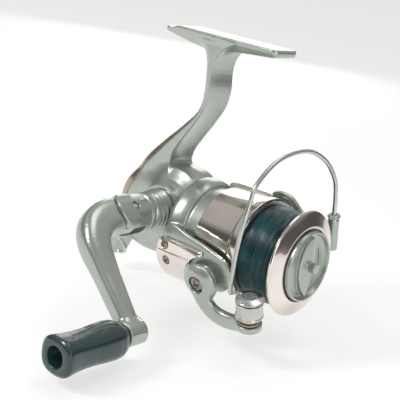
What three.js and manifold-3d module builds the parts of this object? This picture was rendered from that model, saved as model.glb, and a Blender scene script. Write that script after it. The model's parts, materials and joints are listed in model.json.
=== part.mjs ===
// A small front-drag spinning reel, built as it comes apart on a bench.
// Millimetres. The model's frame is the rod seat: the origin is the centre of the foot's flat top,
// +Z points into the rod, +X runs along the rod towards its tip and the handle is on the -Y side.
// Everything under the foot is drawn in the reel's own axes: the spool's axis is y = 0, z = 0,
// and x = 0 is the plane of the spool's front rim. The "reel" group turns that into the seat's frame.
import * as THREE from 'three';
import { mergeVertices } from 'three/addons/utils/BufferGeometryUtils.js';
import Module from 'manifold-3d';

const wasm = await Module();
wasm.setup();

// ---------------------------------------------------------------- driving dimensions
const GAP = 0.3;                                   // air between neighbouring pieces
const DEG = Math.PI / 180;

const SEAT = { x: -45.8, z: 72.3, tilt: 2.5 * DEG };   // seat centre in reel axes, nose-down tilt
const FOOT = { length: 53.4, width: 14.2, tip: 1.7, step: 1.2, stepAt: -18.5 };

const CASE = { x: -67.0, z: 0.4, a: 18.6, b: 15.8, power: 2.5, half: 6.7, wall: 1.8, split: 2.5 };
const HANDLE = { x: -56.5, z: 5.6, boss: 9.5, face: 13.8 };
const COLLAR = { r: 13.9, front: -41.5 };          // body's collar inside the rotor

const ROTOR = { back: -47.8, rim: 19.2, shoulder: -40.6, drum: 16.7, wall: 1.3, front: -30.5 };
const ARM = { angle: 25 * DEG, inner: 20.4, plate: 22.3, skin: 24.5, pivotX: -25.2 };
const BAIL = { inner: 24.8, outer: 27.6, bossR: 7.2, rollerR: 25.7, drumR: 4.9, wireR: 0.8 };

const SPOOL = {
  skirtBack: -34.4, skirtR: 18.5, flangeX: -15, flangeR: 19.4, wall: 0.9,
  core: 10.5, lineR: 17.2, lipBack: -1.9, lipR: 19.3, ringR: 13.3, ringX: 2.2,
};
const SHAFT = { r: 1.6, back: -76, front: 0.2 };
const GEARS = { driveTeeth: 35, pinionTeeth: 7, idlerTeeth: 14, crossTeeth: 26 };
const DRIVE = { r: 7.9, y0: 3.95, y1: 5.9, tooth: 0.55 };
const PINION = { r: 3.1, bore: 1.95, back: -53.2, front: -27.9 };
const CROSS = { x: -67.4, z: 0.2, r: 7.6, pin: 5.2, y0: 2.3, y1: 3.35 };

const FOLD = { y: -31.5, r: 7.3, end: 7.9 };       // folding joint: pivot, barrel and the fork's round end
const CRANK = { knobX: -26.0, knobZ: -23.1, y: -54.6, hubR: 4.3, hubHalf: 3.9 };
const RATCHET_X = -40.1;
const PAWL = { x: RATCHET_X, y: 9.4, z: -6.6 };                     // pivot of the anti-reverse pawl
const LEVER = { x: -84.8, z: -13.0, y: -5.7, r: 0.65 };            // bent-wire anti-reverse lever
const KNOB = { y0: -60.2, y1: -87.6, r: 6.6, bore: 2.0 };

// ---------------------------------------------------------------- materials
const finish = (color, roughness, metalness) =>
  new THREE.MeshStandardMaterial({ color, roughness, metalness });
const SILVER = finish(0xa5afa5, 0.35, 0.6);
const CHAMPAGNE = finish(0xcdbeaf, 0.15, 0.95);
const STEEL = finish(0xb9bcbc, 0.25, 1.0);
const BRASS = finish(0xb08d4a, 0.35, 1.0);
const BLACK = finish(0x1c1d1e, 0.6, 0.0);
const RUBBER = finish(0x2d4848, 0.45, 0.0);
const LINE = finish(0x0a3c41, 0.4, 0.0);
const ZINC = finish(0x9a9d9c, 0.5, 0.8);
const FELT = finish(0xd8d2c0, 0.95, 0.0);

// ---------------------------------------------------------------- shape helpers
const V = (x, y, z) => new THREE.Vector3(x, y, z);

function signedVolume(geometry) {
  const p = geometry.attributes.position;
  const index = geometry.index;
  const [a, b, c] = [V(), V(), V()];
  let sum = 0;
  for (let i = 0; i < index.count; i += 3) {
    a.fromBufferAttribute(p, index.getX(i));
    b.fromBufferAttribute(p, index.getX(i + 1));
    c.fromBufferAttribute(p, index.getX(i + 2));
    sum += a.dot(b.cross(c)) / 6;
  }
  return sum;
}

// A closed three.js geometry becomes a manifold solid, faces out.
function solid(geometry) {
  const bare = geometry.clone();
  for (const name of Object.keys(bare.attributes)) {
    if (name !== 'position') bare.deleteAttribute(name);
  }
  const merged = mergeVertices(bare, 1e-4);
  const order = signedVolume(merged) < 0 ? [0, 2, 1] : [0, 1, 2];
  const source = merged.index.array;
  const triangles = [];
  for (let i = 0; i < source.length; i += 3) {
    const [a, b, c] = order.map((k) => source[i + k]);
    if (a !== b && b !== c && c !== a) triangles.push(a, b, c);
  }
  return new wasm.Manifold(new wasm.Mesh({
    numProp: 3,
    vertProperties: new Float32Array(merged.attributes.position.array),
    triVerts: new Uint32Array(triangles),
  }));
}

function toGeometry(manifold) {
  const mesh = manifold.getMesh();
  const geometry = new THREE.BufferGeometry();
  geometry.setAttribute('position', new THREE.BufferAttribute(new Float32Array(mesh.vertProperties), 3));
  geometry.setIndex(new THREE.BufferAttribute(new Uint32Array(mesh.triVerts), 1));
  geometry.computeVertexNormals();
  return geometry;
}

const biggest = (shape) => shape.decompose().sort((a, b) => b.volume() - a.volume())[0];
const join = (first, ...rest) => rest.reduce((sum, s) => sum.add(s), first);
const cut = (first, ...rest) => rest.reduce((left, s) => left.subtract(s), first);

// Turns a profile of [along, radius] points about a line through `at` with direction `axis`.
function turned(profile, axis, at = V(0, 0, 0), sides = 24) {
  const points = profile.map(([along, radius]) => new THREE.Vector2(radius, along));
  const geometry = new THREE.LatheGeometry(points, sides);
  geometry.applyQuaternion(new THREE.Quaternion().setFromUnitVectors(V(0, 1, 0), axis.clone().normalize()));
  geometry.translate(at.x, at.y, at.z);
  return solid(geometry);
}
const X = V(1, 0, 0);
const Y = V(0, 1, 0);
const Z = V(0, 0, 1);

// A plain rod, or a tube when `bore` is given, from `from` to `to` along `axis` through `at`.
function rod(from, to, radius, axis, at, sides = 16, bore = 0) {
  const profile = bore > 0
    ? [[from, bore], [from, radius], [to, radius], [to, bore], [from, bore]]
    : [[from, 0], [from, radius], [to, radius], [to, 0]];
  return turned(profile, axis, at, sides);
}

// Joins equal rings of points into one closed skin with flat ends.
function loft(rings) {
  const count = rings[0].length;
  const positions = rings.flat().flatMap((p) => [p.x, p.y, p.z]);
  const triangles = [];
  for (let r = 0; r + 1 < rings.length; r += 1) {
    for (let i = 0; i < count; i += 1) {
      const [a, b] = [r * count + i, r * count + ((i + 1) % count)];
      triangles.push(a, b, b + count, a, b + count, a + count);
    }
  }
  [0, rings.length - 1].forEach((r, end) => {
    const centre = rings[r].reduce((sum, p) => sum.add(p), V(0, 0, 0)).divideScalar(count);
    const hub = positions.length / 3;
    positions.push(centre.x, centre.y, centre.z);
    for (let i = 0; i < count; i += 1) {
      const [a, b] = [r * count + i, r * count + ((i + 1) % count)];
      triangles.push(...(end === 0 ? [b, a, hub] : [a, b, hub]));
    }
  });
  const geometry = new THREE.BufferGeometry();
  geometry.setAttribute('position', new THREE.Float32BufferAttribute(positions, 3));
  geometry.setIndex(triangles);
  return solid(geometry);
}

// Sweeps a section (half sizes from `size(t)`) along a curve. `side` is the section's steady width axis.
function sweep(curve, steps, sides, size, side, power = 2) {
  const rings = [];
  for (let k = 0; k <= steps; k += 1) {
    const t = k / steps;
    const along = curve.getTangentAt(t);
    const wide = side.clone().addScaledVector(along, -side.dot(along)).normalize();
    const tall = along.clone().cross(wide);
    const [w, h] = size(t);
    const at = curve.getPointAt(t);
    rings.push(oval(sides, power).map(([u, v]) =>
      at.clone().addScaledVector(wide, u * w).addScaledVector(tall, v * h)));
  }
  return loft(rings);
}

// Points of a unit superellipse: power 2 is a circle, larger powers are squarer.
function oval(sides, power = 2) {
  return Array.from({ length: sides }, (_, i) => {
    const angle = (i / sides) * 2 * Math.PI;
    const [c, s] = [Math.cos(angle), Math.sin(angle)];
    return [Math.sign(c) * Math.abs(c) ** (2 / power), Math.sign(s) * Math.abs(s) ** (2 / power)];
  });
}

const lerp = (a, b, t) => a + (b - a) * t;

// Extrudes an outline of [u, v] points by `depth` along w = u x v, starting at `origin`.
function plate(outline, depth, origin, u, v) {
  const shape = new THREE.Shape(outline.map(([a, b]) => new THREE.Vector2(a, b)));
  const geometry = new THREE.ExtrudeGeometry(shape, { depth, bevelEnabled: false });
  const frame = new THREE.Matrix4().makeBasis(u, v, u.clone().cross(v));
  geometry.applyMatrix4(frame.setPosition(origin));
  return solid(geometry);
}

function box(x0, x1, y0, y1, z0, z1) {
  const geometry = new THREE.BoxGeometry(x1 - x0, y1 - y0, z1 - z0);
  geometry.translate((x0 + x1) / 2, (y0 + y1) / 2, (z0 + z1) / 2);
  return solid(geometry);
}

// Groups: `seat` is the frame itself, `reel` carries everything drawn in the reel's own axes.
const seat = new THREE.Group();
const reel = new THREE.Group();
reel.rotation.y = -SEAT.tilt;
reel.position.copy(V(-SEAT.x, 0, -SEAT.z).applyAxisAngle(Y, -SEAT.tilt));
seat.add(reel);
reel.updateMatrix();

function add(name, shape, material, group = reel) {
  const mesh = new THREE.Mesh(toGeometry(shape), material);
  mesh.name = name;
  group.add(mesh);
}

const intoReel = (shape) => {
  const inverse = reel.matrix.clone().invert();
  return shape.transform(inverse.elements);
};

// ---------------------------------------------------------------- body: foot, stem and gear case
// The stem's stations run down from the foot: front edge, rear edge, half width and how much of the
// depth has flat sides before the rear rounds off.
const STEM = [
  { front: [-40.0, 69.6], rear: [-57.5, 69.6], half: 6.9, flat: 0.7 },
  { front: [-43.6, 66.7], rear: [-54.0, 66.6], half: 6.8, flat: 0.4 },
  { front: [-45.9, 63.2], rear: [-51.9, 63.2], half: 6.8, flat: 0.2 },
  { front: [-46.3, 58.5], rear: [-51.0, 58.5], half: 6.7, flat: 0.12 },
  { front: [-45.7, 52.0], rear: [-51.0, 51.6], half: 6.6, flat: 0.12 },
  { front: [-47.0, 45.6], rear: [-51.6, 44.8], half: 6.5, flat: 0.25 },
  { front: [-51.2, 38.6], rear: [-57.2, 37.6], half: 6.5, flat: 0.4 },
  { front: [-56.0, 31.6], rear: [-65.3, 29.2], half: 6.5, flat: 0.5 },
  { front: [-60.0, 25.4], rear: [-73.4, 20.2], half: 6.5, flat: 0.55 },
  { front: [-60.2, 18.0], rear: [-80.6, 10.6], half: 6.5, flat: 0.6 },
  { front: [-58.0, 8.0], rear: [-84.6, 0.8], half: 6.4, flat: 0.6 },
];

function stemRing({ front, rear, half, flat }) {
  const outline = [];
  const turns = 4;
  for (let i = 0; i <= turns; i += 1) {
    const angle = (i / turns) * (Math.PI / 2);
    outline.push([flat + (1 - flat) * Math.sin(angle) ** 0.9, half * Math.cos(angle) ** 0.9]);
  }
  const right = [[0, half], ...outline];
  const left = right.slice(0, -1).reverse().map(([s, y]) => [s, -y]);
  const scoop = [[0.1, -half * 0.45], [0.1, half * 0.45]];
  return [...right, ...left, ...scoop].map(([s, y]) =>
    V(lerp(front[0], rear[0], s), y, lerp(front[1], rear[1], s)));
}

function stem() {
  return loft(STEM.map(stemRing));
}

// The foot tapers to both ends; its flat top is the seat and its rear tongue sits a step lower.
function foot() {
  const half = FOOT.length / 2;
  const side = [
    [-half, -FOOT.step], [-half, -FOOT.step - FOOT.tip], [-17, -5.4], [-8, -6.6],
    [4, -4.9], [half - 2, -3.3], [half, -1.9], [half, -0.8], [half - 0.8, 0],
    [FOOT.stepAt, 0], [FOOT.stepAt - 3.0, -FOOT.step],
  ];
  const profile = plate(side, FOOT.width, V(0, FOOT.width / 2, 0), X, Z);
  const steps = 4;
  const plan = [];
  const corner = (cx, cy, r, from) => {
    for (let i = 0; i <= steps; i += 1) {
      const angle = (from + (90 * i) / steps) * DEG;
      plan.push([cx + r * Math.cos(angle), cy + r * Math.sin(angle)]);
    }
  };
  const [wide, front, rear] = [FOOT.width / 2, 3.2, 5.5];
  corner(half - front, wide - front, front, 0);
  corner(-half + rear, wide - rear, rear, 90);
  corner(-half + rear, -wide + rear, rear, 180);
  corner(half - front, -wide + front, front, 270);
  return profile.intersect(plate(plan, 20, V(0, 0, -15), X, Y));
}

const caseRing = (grow, y) => oval(20, CASE.power).map(([u, v]) =>
  V(CASE.x + u * (CASE.a + grow), y, CASE.z + v * (CASE.b + grow)));

// One side of the gear case swells from the flat side plate to the round boss on the handle's axis.
function dome(sign) {
  const blends = [0, 0.16, 0.4, 0.72, 1, 1];
  const lift = [0, CASE.half, 8.3, 10.2, 12.0, HANDLE.face];
  return loft(blends.map((blend, i) => oval(20, lerp(CASE.power, 2, blend)).map(([u, v]) =>
    V(
      lerp(CASE.x, HANDLE.x, blend) + u * lerp(CASE.a - 0.8, HANDLE.boss, blend),
      sign * lift[i],
      lerp(CASE.z, HANDLE.z, blend) + v * lerp(CASE.b - 0.8, HANDLE.boss, blend),
    ))));
}

function caseOuter() {
  const slab = loft([[-1.0, -CASE.half], [0, -CASE.half + 1.2], [0, CASE.half - 1.2], [-1.0, CASE.half]]
    .map(([grow, y]) => caseRing(grow, y)));
  const collar = turned(
    [[-56, 0], [-56, COLLAR.r - 1.5], [-49.5, COLLAR.r], [COLLAR.front, COLLAR.r], [COLLAR.front, 0]],
    X, ORIGIN, 20);
  const lug = sweep(new THREE.LineCurve3(V(-80.5, 0, -3), V(-90.0, 0, -22)), 1, 12,
    (t) => [lerp(4.8, 4.2, t), lerp(4.4, 3.6, t)], Y, 4);
  return join(slab, dome(1), dome(-1), collar, lug);
}

// The room inside the gear case for the gears, the slider, the main shaft and the bearings.
function caseRoom() {
  const wall = CASE.half - 1.4;
  const room = loft([-wall, wall].map((y) => caseRing(-2.2, y)));
  const bearings = rod(-12.2, 12.2, 5.8, Y, AXLE, 16);
  const gearRoom = rod(2.9, DRIVE.y1 + GAP, DRIVE.r + GAP, Y, AXLE, 20);
  const pinionSeat = rod(-54, COLLAR.front + 1, 5.8, X, ORIGIN, 16);
  return join(room, bearings, gearRoom, pinionSeat);
}

// The gear case splits on the far side of the gears: the cover lifts off towards +Y.
const coverZone = (grow) => loft([CASE.split + (grow < 0 ? GAP : 0), 20].map((y) =>
  oval(20, CASE.power).map(([u, v]) =>
    V(CASE.x + 0.6 + u * (CASE.a - 1.0 + grow), y, CASE.z + v * (CASE.b - 0.9 + grow)))));

const AXLE = V(HANDLE.x, 0, HANDLE.z);
const ORIGIN = V(0, 0, 0);
const axleHole = (r) => rod(-20, 20, r, Y, AXLE, 16);
const COVER_SCREWS = [[-80.3, -5.6], [-64.5, -12.0], [-75.6, 10.6]];
const screwShank = (x, z) => rod(-4, 20, 1.25, Y, V(x, 0, z), 8);
const STRIP_LINE = new THREE.CatmullRomCurve3(STEM.slice(5, 11).map(({ rear }) => V(rear[0], 0, rear[1])));
const STRIP_SCREW = 0.55;                          // how far down the strip its screw sits

function rearStrip(depth, inset, half) {
  const rings = [];
  const steps = 6;
  for (let k = 0; k <= steps; k += 1) {
    const at = STRIP_LINE.getPointAt(k / steps);
    const inward = stripOut(k / steps).negate();
    const edge = (s, y) => at.clone().addScaledVector(inward, s).add(V(0, y, 0));
    const arc = [-1, -0.5, 0, 0.5, 1];
    const outer = arc.map((t) => edge(inset + 2.1 * t * t, half * t));
    const inner = arc.map((t) => edge(inset + depth + 1.2 * t * t, half * t * 0.96)).reverse();
    rings.push([...outer, ...inner]);
  }
  return loft(rings);
}

// The way out of the strip, square to it, at share t of its length.
function stripOut(t) {
  const along = STRIP_LINE.getTangentAt(t);
  return V(-along.z, 0, along.x);
}
const stripHole = (r) => rod(-4, 4, r, stripOut(STRIP_SCREW), STRIP_LINE.getPointAt(STRIP_SCREW), 10);

function makeBody() {
  const leverHole = rod(-8, -1.6, LEVER.r + GAP, Y, V(LEVER.x, 0, LEVER.z), 12);
  let shape = join(intoReel(foot()), stem(), caseOuter());
  shape = cut(shape, caseRoom(), coverZone(0), axleHole(3.4));
  shape = cut(shape, rod(-60, -40, 3.9, X, ORIGIN, 16));
  shape = cut(shape, rearStrip(4.3, -3, 9), stripHole(0.9));
  shape = cut(shape, leverHole, pawlHole(0.95));
  const bosses = COVER_SCREWS.map(([x, z]) => rod(-14, CASE.split, 2.2, Y, V(x, 0, z), 8)
    .intersect(caseOuter())
    .subtract(rod(-3, 10, 0.95, Y, V(x, 0, z), 8)));
  shape = join(shape, ...bosses);
  return biggest(shape);
}

function makeSideCover() {
  let shape = caseOuter().intersect(coverZone(-GAP));
  shape = cut(shape, caseRoom(), axleHole(3.4), rod(-60, -40, 6.2, X, ORIGIN, 16));
  shape = cut(shape, rod(-50.2, -40, COLLAR.r + 3, X, ORIGIN, 16));
  COVER_SCREWS.forEach(([x, z]) => {
    shape = cut(shape, screwShank(x, z), rod(COVER_HEAD - GAP, 20, 2.5, Y, V(x, 0, z), 10));
  });
  return biggest(shape);
}
const COVER_HEAD = 5.6;                            // y of the underside of the cover screws' heads

// A pan-head screw: its head sits on `at`, points along `out`, and carries a cross recess.
function screw(at, out, shank, shankR, headR, headH, cross = true) {
  const body = turned([[-shank, 0], [-shank, shankR], [0, shankR],
    [0, headR], [headH * 0.6, headR], [headH, headR * 0.6], [headH, 0]], out, at, 8);
  if (!cross) return body;
  const q = new THREE.Quaternion().setFromUnitVectors(Z, out.clone().normalize());
  const bar = (w, d) => {
    const geometry = new THREE.BoxGeometry(w, d, headH);
    geometry.translate(0, 0, headH * 0.95);
    geometry.applyQuaternion(q);
    geometry.translate(at.x, at.y, at.z);
    return solid(geometry);
  };
  return cut(body, bar(headR * 1.1, headR * 0.28), bar(headR * 0.28, headR * 1.1));
}

add('body_housing', makeBody(), SILVER);
add('side_cover', makeSideCover(), SILVER);
COVER_SCREWS.forEach(([x, z], i) => {
  add(`side_cover_screw_${i + 1}`, screw(V(x, COVER_HEAD, z), Y, 8.0, 0.8, 2.1, 1.4, false), ZINC);
});
add('rear_cover', cut(rearStrip(1.0, 0, 5.7), stripHole(1.0)), CHAMPAGNE);
add('rear_cover_screw', screw(STRIP_LINE.getPointAt(STRIP_SCREW).addScaledVector(stripOut(STRIP_SCREW), 0.3),
  stripOut(STRIP_SCREW), 3.2, 0.6, 1.5, 0.7, false), STEEL);

// ---------------------------------------------------------------- handle shaft and gears
function ring(r0, r1, y0, y1, sides = 24) {
  return rod(Math.min(y0, y1), Math.max(y0, y1), r1, Y, AXLE, sides, r0);
}

// Ridged dust ring on the boss: four rings that step down towards the joint.
function makeSeatRing() {
  const profile = [[-HANDLE.face - GAP, 3.4], [-HANDLE.face - GAP, 8.0]];
  [8.0, 7.8, 7.6, 7.4].forEach((r, i) => {
    const y = -HANDLE.face - GAP - 1.7 * i;
    profile.push([y - 1.1, r], [y - 1.3, r - 0.7], [y - 1.7, r - 0.7]);
  });
  profile.push([-21.6, 6.1], [-21.6, 3.4], [-HANDLE.face - GAP, 3.4]);
  return turned(profile, Y, AXLE, 16);
}

// Spur teeth as small wedges round a disc; `teeth` is the count.
function spur(axis, at, from, to, root, tip, teeth, bore) {
  const outline = [];
  for (let i = 0; i < teeth; i += 1) {
    for (const [share, r] of [[0, root], [0.3, root], [0.45, tip], [0.8, tip]]) {
      const angle = ((i + share) / teeth) * 2 * Math.PI;
      outline.push([r * Math.cos(angle), r * Math.sin(angle)]);
    }
  }
  const side = Math.abs(axis.x) > 0.5 ? Y : Z;
  const other = axis.clone().cross(side);
  const blank = plate(outline, to - from, at.clone().addScaledVector(axis, from), side, other);
  return bore > 0 ? cut(blank, rod(from - 1, to + 1, bore, axis, at, 16)) : blank;
}

function makeDriveGear() {
  const disc = spur(Y, AXLE, DRIVE.y0, DRIVE.y1, DRIVE.r - DRIVE.tooth, DRIVE.r, GEARS.driveTeeth, 1.8);
  const hub = ring(1.8, 2.8, -12.4, 12.4, 12);
  const idler = spur(Y, AXLE, CROSS.y0, DRIVE.y0 + 0.4, 3.9, 4.3, GEARS.idlerTeeth, 1.8);
  return join(disc, hub, idler);
}

// The handle's axle: a rod through the gear, the joint's base block and its two cheeks.
const CRANK_DIR = V(CRANK.knobX - HANDLE.x, 0, CRANK.knobZ - HANDLE.z).normalize();
const FOLD_AXIS = V(-CRANK_DIR.z, 0, CRANK_DIR.x);
const FOLD_AT = V(HANDLE.x, FOLD.y, HANDLE.z);

function slotAcross(width, y0, y1) {
  const geometry = new THREE.BoxGeometry(20, y1 - y0, width);
  geometry.applyQuaternion(new THREE.Quaternion().setFromUnitVectors(Z, FOLD_AXIS));
  geometry.translate(HANDLE.x, (y0 + y1) / 2, HANDLE.z);
  return solid(geometry);
}

function makeAxle() {
  const base = turned([[-39.4, 0], [-39.4, FOLD.r], [-25.4, FOLD.r], [-25.0, FOLD.r - 0.4],
    [-24.6, FOLD.r - 0.4], [-24.2, FOLD.r], [-22.8, FOLD.r], [-22.0, FOLD.r - 0.8],
    [-22.0, 2.9], [-12.8, 2.9], [-12.8, 1.5], [12.6, 1.5], [12.6, 0]], Y, AXLE, 16);
  return cut(base, slotAcross(5.4, -40, -26.4), foldBore(1.45)).intersect(foldShape(FOLD.end, 20));
}
// Round about the fold axis, and left whole on the side between the fold axis and y = whole.
function foldShape(r, whole) {
  const [low, high] = [Math.min(FOLD.y, whole), Math.max(FOLD.y, whole)];
  return join(rod(-12, 12, r, FOLD_AXIS, FOLD_AT, 20), box(-90, -20, low, high, -30, 40));
}
function foldBore(r) {
  return rod(-12, 12, r, FOLD_AXIS, FOLD_AT, 12);
}

add('handle_seat_ring', makeSeatRing(), SILVER);
add('drive_bearing_left', ring(3.1, 5.5, -11.9, -8.6, 16), STEEL);
add('drive_bearing_right', ring(3.1, 5.5, 8.6, 11.9, 16), STEEL);
add('drive_gear', makeDriveGear(), ZINC);
add('handle_axle', makeAxle(), SILVER);
add('axle_cap', turned([[12.9, 0], [12.9, 3.1], [14.1, 3.1], [14.1, 5.6], [16.4, 5.2], [17.0, 4.2],
  [17.0, 0]], Y, AXLE, 16), SILVER);
add('fold_pin', rod(-6.9, 6.9, 1.1, FOLD_AXIS, FOLD_AT, 12), STEEL);

// The crank: a tongue in the fold joint, an elbow and an oval arm down to the knob's hub.
function makeCrank() {
  const elbow = V(HANDLE.x, -51.5, HANDLE.z);
  const hub = V(CRANK.knobX, CRANK.y, CRANK.knobZ);
  const bend = 13;
  const start = V(HANDLE.x, -35.2, HANDLE.z);
  const curve = new THREE.CurvePath();
  const a = elbow.clone().add(V(0, bend - 1, 0));
  const b = elbow.clone().lerp(hub, bend / 42);
  curve.add(new THREE.LineCurve3(start, a));
  curve.add(new THREE.CubicBezierCurve3(a, a.clone().lerp(elbow, 0.62), b.clone().lerp(elbow, 0.62), b));
  curve.add(new THREE.LineCurve3(b, hub));
  const arm = sweep(curve, 9, 10, (t) => [lerp(6.4, 3.3, Math.min(1, t * 1.6)), lerp(6.6, 3.4, t)],
    FOLD_AXIS, 2.6);
  const neck = slotAcross(4.6, -41, -26).intersect(rod(-41, -20, FOLD.r - 0.8, Y, AXLE, 16));
  const tongue = neck.intersect(foldShape(4.7, -50));
  const shoulder = rod(-12, 12, FOLD.end + GAP, FOLD_AXIS, FOLD_AT, 24);
  const barrel = rod(CRANK.y - CRANK.hubHalf, CRANK.y + CRANK.hubHalf, CRANK.hubR, Y,
    V(CRANK.knobX, 0, CRANK.knobZ), 16);
  return cut(join(cut(arm, shoulder), tongue, barrel), foldBore(1.45),
    rod(-70, -40, 1.7, Y, V(CRANK.knobX, 0, CRANK.knobZ), 12));
}
const HUB = V(CRANK.knobX, 0, CRANK.knobZ);
add('crank_arm', makeCrank(), SILVER);
add('knob_spindle', turned([[KNOB.y1 + 6, 0], [KNOB.y1 + 6, 2.9], [KNOB.y1 + 7.6, 2.9], [KNOB.y1 + 7.6, 1.4],
  [-50.4, 1.4], [-50.4, 0]], Y, HUB, 12), STEEL);
const HUB_END = CRANK.y - CRANK.hubHalf;
add('knob_washer', rod(HUB_END - 1.3, HUB_END - GAP, 3.6, Y, HUB, 16, 1.7), BLACK);

// The knob: a rounded barrel, a little flat on two sides, with an open bore at its far end.
function makeKnob() {
  const stations = [[0, 0.72], [0.06, 0.92], [0.2, 1], [0.5, 0.92], [0.78, 0.96], [0.92, 1.04], [1, 0.86]];
  const outer = loft(stations.map(([t, grow]) => oval(16, 2.3).map(([u, v]) =>
    V(CRANK.knobX + u * KNOB.r * grow, lerp(KNOB.y0, KNOB.y1, t), CRANK.knobZ + v * KNOB.r * 0.92 * grow))));
  return cut(outer, rod(-100, -40, KNOB.bore, Y, HUB, 12), rod(-100, KNOB.y1 + 8, 3.5, Y, HUB, 12));
}
add('knob', makeKnob(), RUBBER);

// ---------------------------------------------------------------- pinion, main shaft and cross drive
function makePinion() {
  const toothed = spur(X, ORIGIN, PINION.back, -47.7, PINION.r - 0.5, PINION.r, GEARS.pinionTeeth, 0);
  const sleeve = rod(-48.0, PINION.front, 2.8, X, ORIGIN, 16);
  return cut(join(toothed, sleeve), rod(-60, -20, PINION.bore, X, ORIGIN, 16));
}
add('pinion_gear', makePinion(), BRASS);
add('pinion_bearing', rod(-47.3, -44.5, 5.5, X, ORIGIN, 20, 3.1), STEEL);
add('bearing_retainer', rod(-41.2, -40.5, 7.5, X, ORIGIN, 20, 3.1), ZINC);
add('ratchet_wheel', ratchet(), ZINC);
function ratchet() {
  const outline = [];
  const teeth = 10;
  for (let i = 0; i < teeth; i += 1) {
    const angle = (i / teeth) * 2 * Math.PI;
    outline.push([7.4 * Math.cos(angle), 7.4 * Math.sin(angle)]);
    outline.push([9.2 * Math.cos(angle + 0.02), 9.2 * Math.sin(angle + 0.02)]);
  }
  return cut(plate(outline, 1.4, V(RATCHET_X, 0, 0), Y, Z), rod(-50, -30, 3.1, X, ORIGIN, 16));
}

// The pawl swings on its own pin, which turns in a hole in the body's collar.
function pawlHole(r) {
  return rod(COLLAR.front - 3.2, COLLAR.front + 1, r, X, V(0, PAWL.y, PAWL.z), 12);
}
function makePawl() {
  const blade = plate([[-1.3, -1.2], [1.3, -1.2], [2.0, 1.6], [2.2, 5.2], [1.2, 5.2], [-0.2, 2.0]], 1.4,
    V(PAWL.x, PAWL.y, PAWL.z), Y, Z);
  return join(blade, rod(COLLAR.front - 2.8, RATCHET_X + 0.5, 0.65, X, V(0, PAWL.y, PAWL.z), 10));
}
add('ratchet_pawl', makePawl(), STEEL);
add('main_shaft', rod(SHAFT.back, SHAFT.front, SHAFT.r, X, ORIGIN, 16), STEEL);

function makeCrossGear() {
  const centre = V(CROSS.x, 0, CROSS.z);
  const wheel = spur(Y, centre, CROSS.y0, CROSS.y1, CROSS.r - 0.4, CROSS.r, GEARS.crossTeeth, 0);
  const pin = rod(1.95, CROSS.y0 + 0.3, 1.1, Y, V(CROSS.x, 0, CROSS.z + CROSS.pin), 12);
  return cut(join(wheel, pin), rod(0, 6, 1.4, Y, centre, 14));
}
add('cross_gear', makeCrossGear(), ZINC);

function makeSlider() {
  const block = box(CROSS.x - 2.4, CROSS.x + 2.4, -2.9, 1.65, -9.4, 7.6);
  const slot = box(CROSS.x - 1.4, CROSS.x + 1.4, 0.6, 3, -7.0, 7.0)
    .subtract(box(CROSS.x - 2, CROSS.x + 2, 0, 3, -2.2, 2.2));
  return cut(block, slot, rod(-90, -40, SHAFT.r + GAP, X, ORIGIN, 16),
    rod(-90, -40, GUIDE.r + GAP, X, V(0, GUIDE.y, GUIDE.z), 12), rod(-6, -1, 0.9, Y, V(CROSS.x, 0, 0), 10));
}
const GUIDE = { y: -1.0, z: -7.6, r: 0.8 };
add('crosshead_slider', makeSlider(), ZINC);
add('slider_screw', screw(V(CROSS.x, -3.2, 0), Y.clone().negate(), 1.15, 0.6, 1.3, 0.8, false), STEEL);
add('slider_guide_rod', rod(-77.2, -54.5, GUIDE.r, X, V(0, GUIDE.y, GUIDE.z), 12), STEEL);

// The anti-reverse lever is one bent wire: a pivot stub in the lug, a blade and a hooked end.
function makeLever() {
  const { x, y, z, r } = LEVER;
  const path = [V(x, -2.0, z), V(x, y + 1.2, z), V(x + 0.5, y, z - 0.3), V(x + 4.0, y - 0.1, z - 2.4),
    V(x + 6.4, y - 0.1, z - 4.2), V(x + 6.4, y - 0.1, z - 6.2), V(x + 4.4, y - 0.1, z - 7.2),
    V(x + 2.4, y - 0.1, z - 6.9)];
  const curve = new THREE.CatmullRomCurve3(path, false, 'centripetal');
  return sweep(curve, 16, 6, () => [r, r], V(0.5, 0.2, 0.85));
}
add('anti_reverse_lever', makeLever(), STEEL);

// ---------------------------------------------------------------- rotor
// Arm coordinates: `s` along the tangent, `r` outward; `side` is 1 on the near arm, -1 on the far one.
const OUT = V(0, -Math.cos(ARM.angle), -Math.sin(ARM.angle));
const TANGENT = V(0, -Math.sin(ARM.angle), Math.cos(ARM.angle));
const onArm = (x, s, r, side = 1) =>
  V(x, 0, 0).addScaledVector(OUT, side * r).addScaledVector(TANGENT, s);
// The same with `s` measured along the arc of radius r, and turned half way round for the far arm.
const onArc = (x, s, r, side = 1) => onArm(x, side * r * Math.sin(s / r), r * Math.cos(s / r), side);

function arcRing(x, low, high, inner, outer, side, steps = 4) {
  const [there, back] = [[], []];
  for (let i = 0; i <= steps; i += 1) {
    const s = lerp(low, high, i / steps);
    there.push(onArc(x, s * outer / ARM.plate, outer, side));
    back.unshift(onArc(x, s * inner / ARM.plate, inner, side));
  }
  return [...there, ...back];
}

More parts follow.
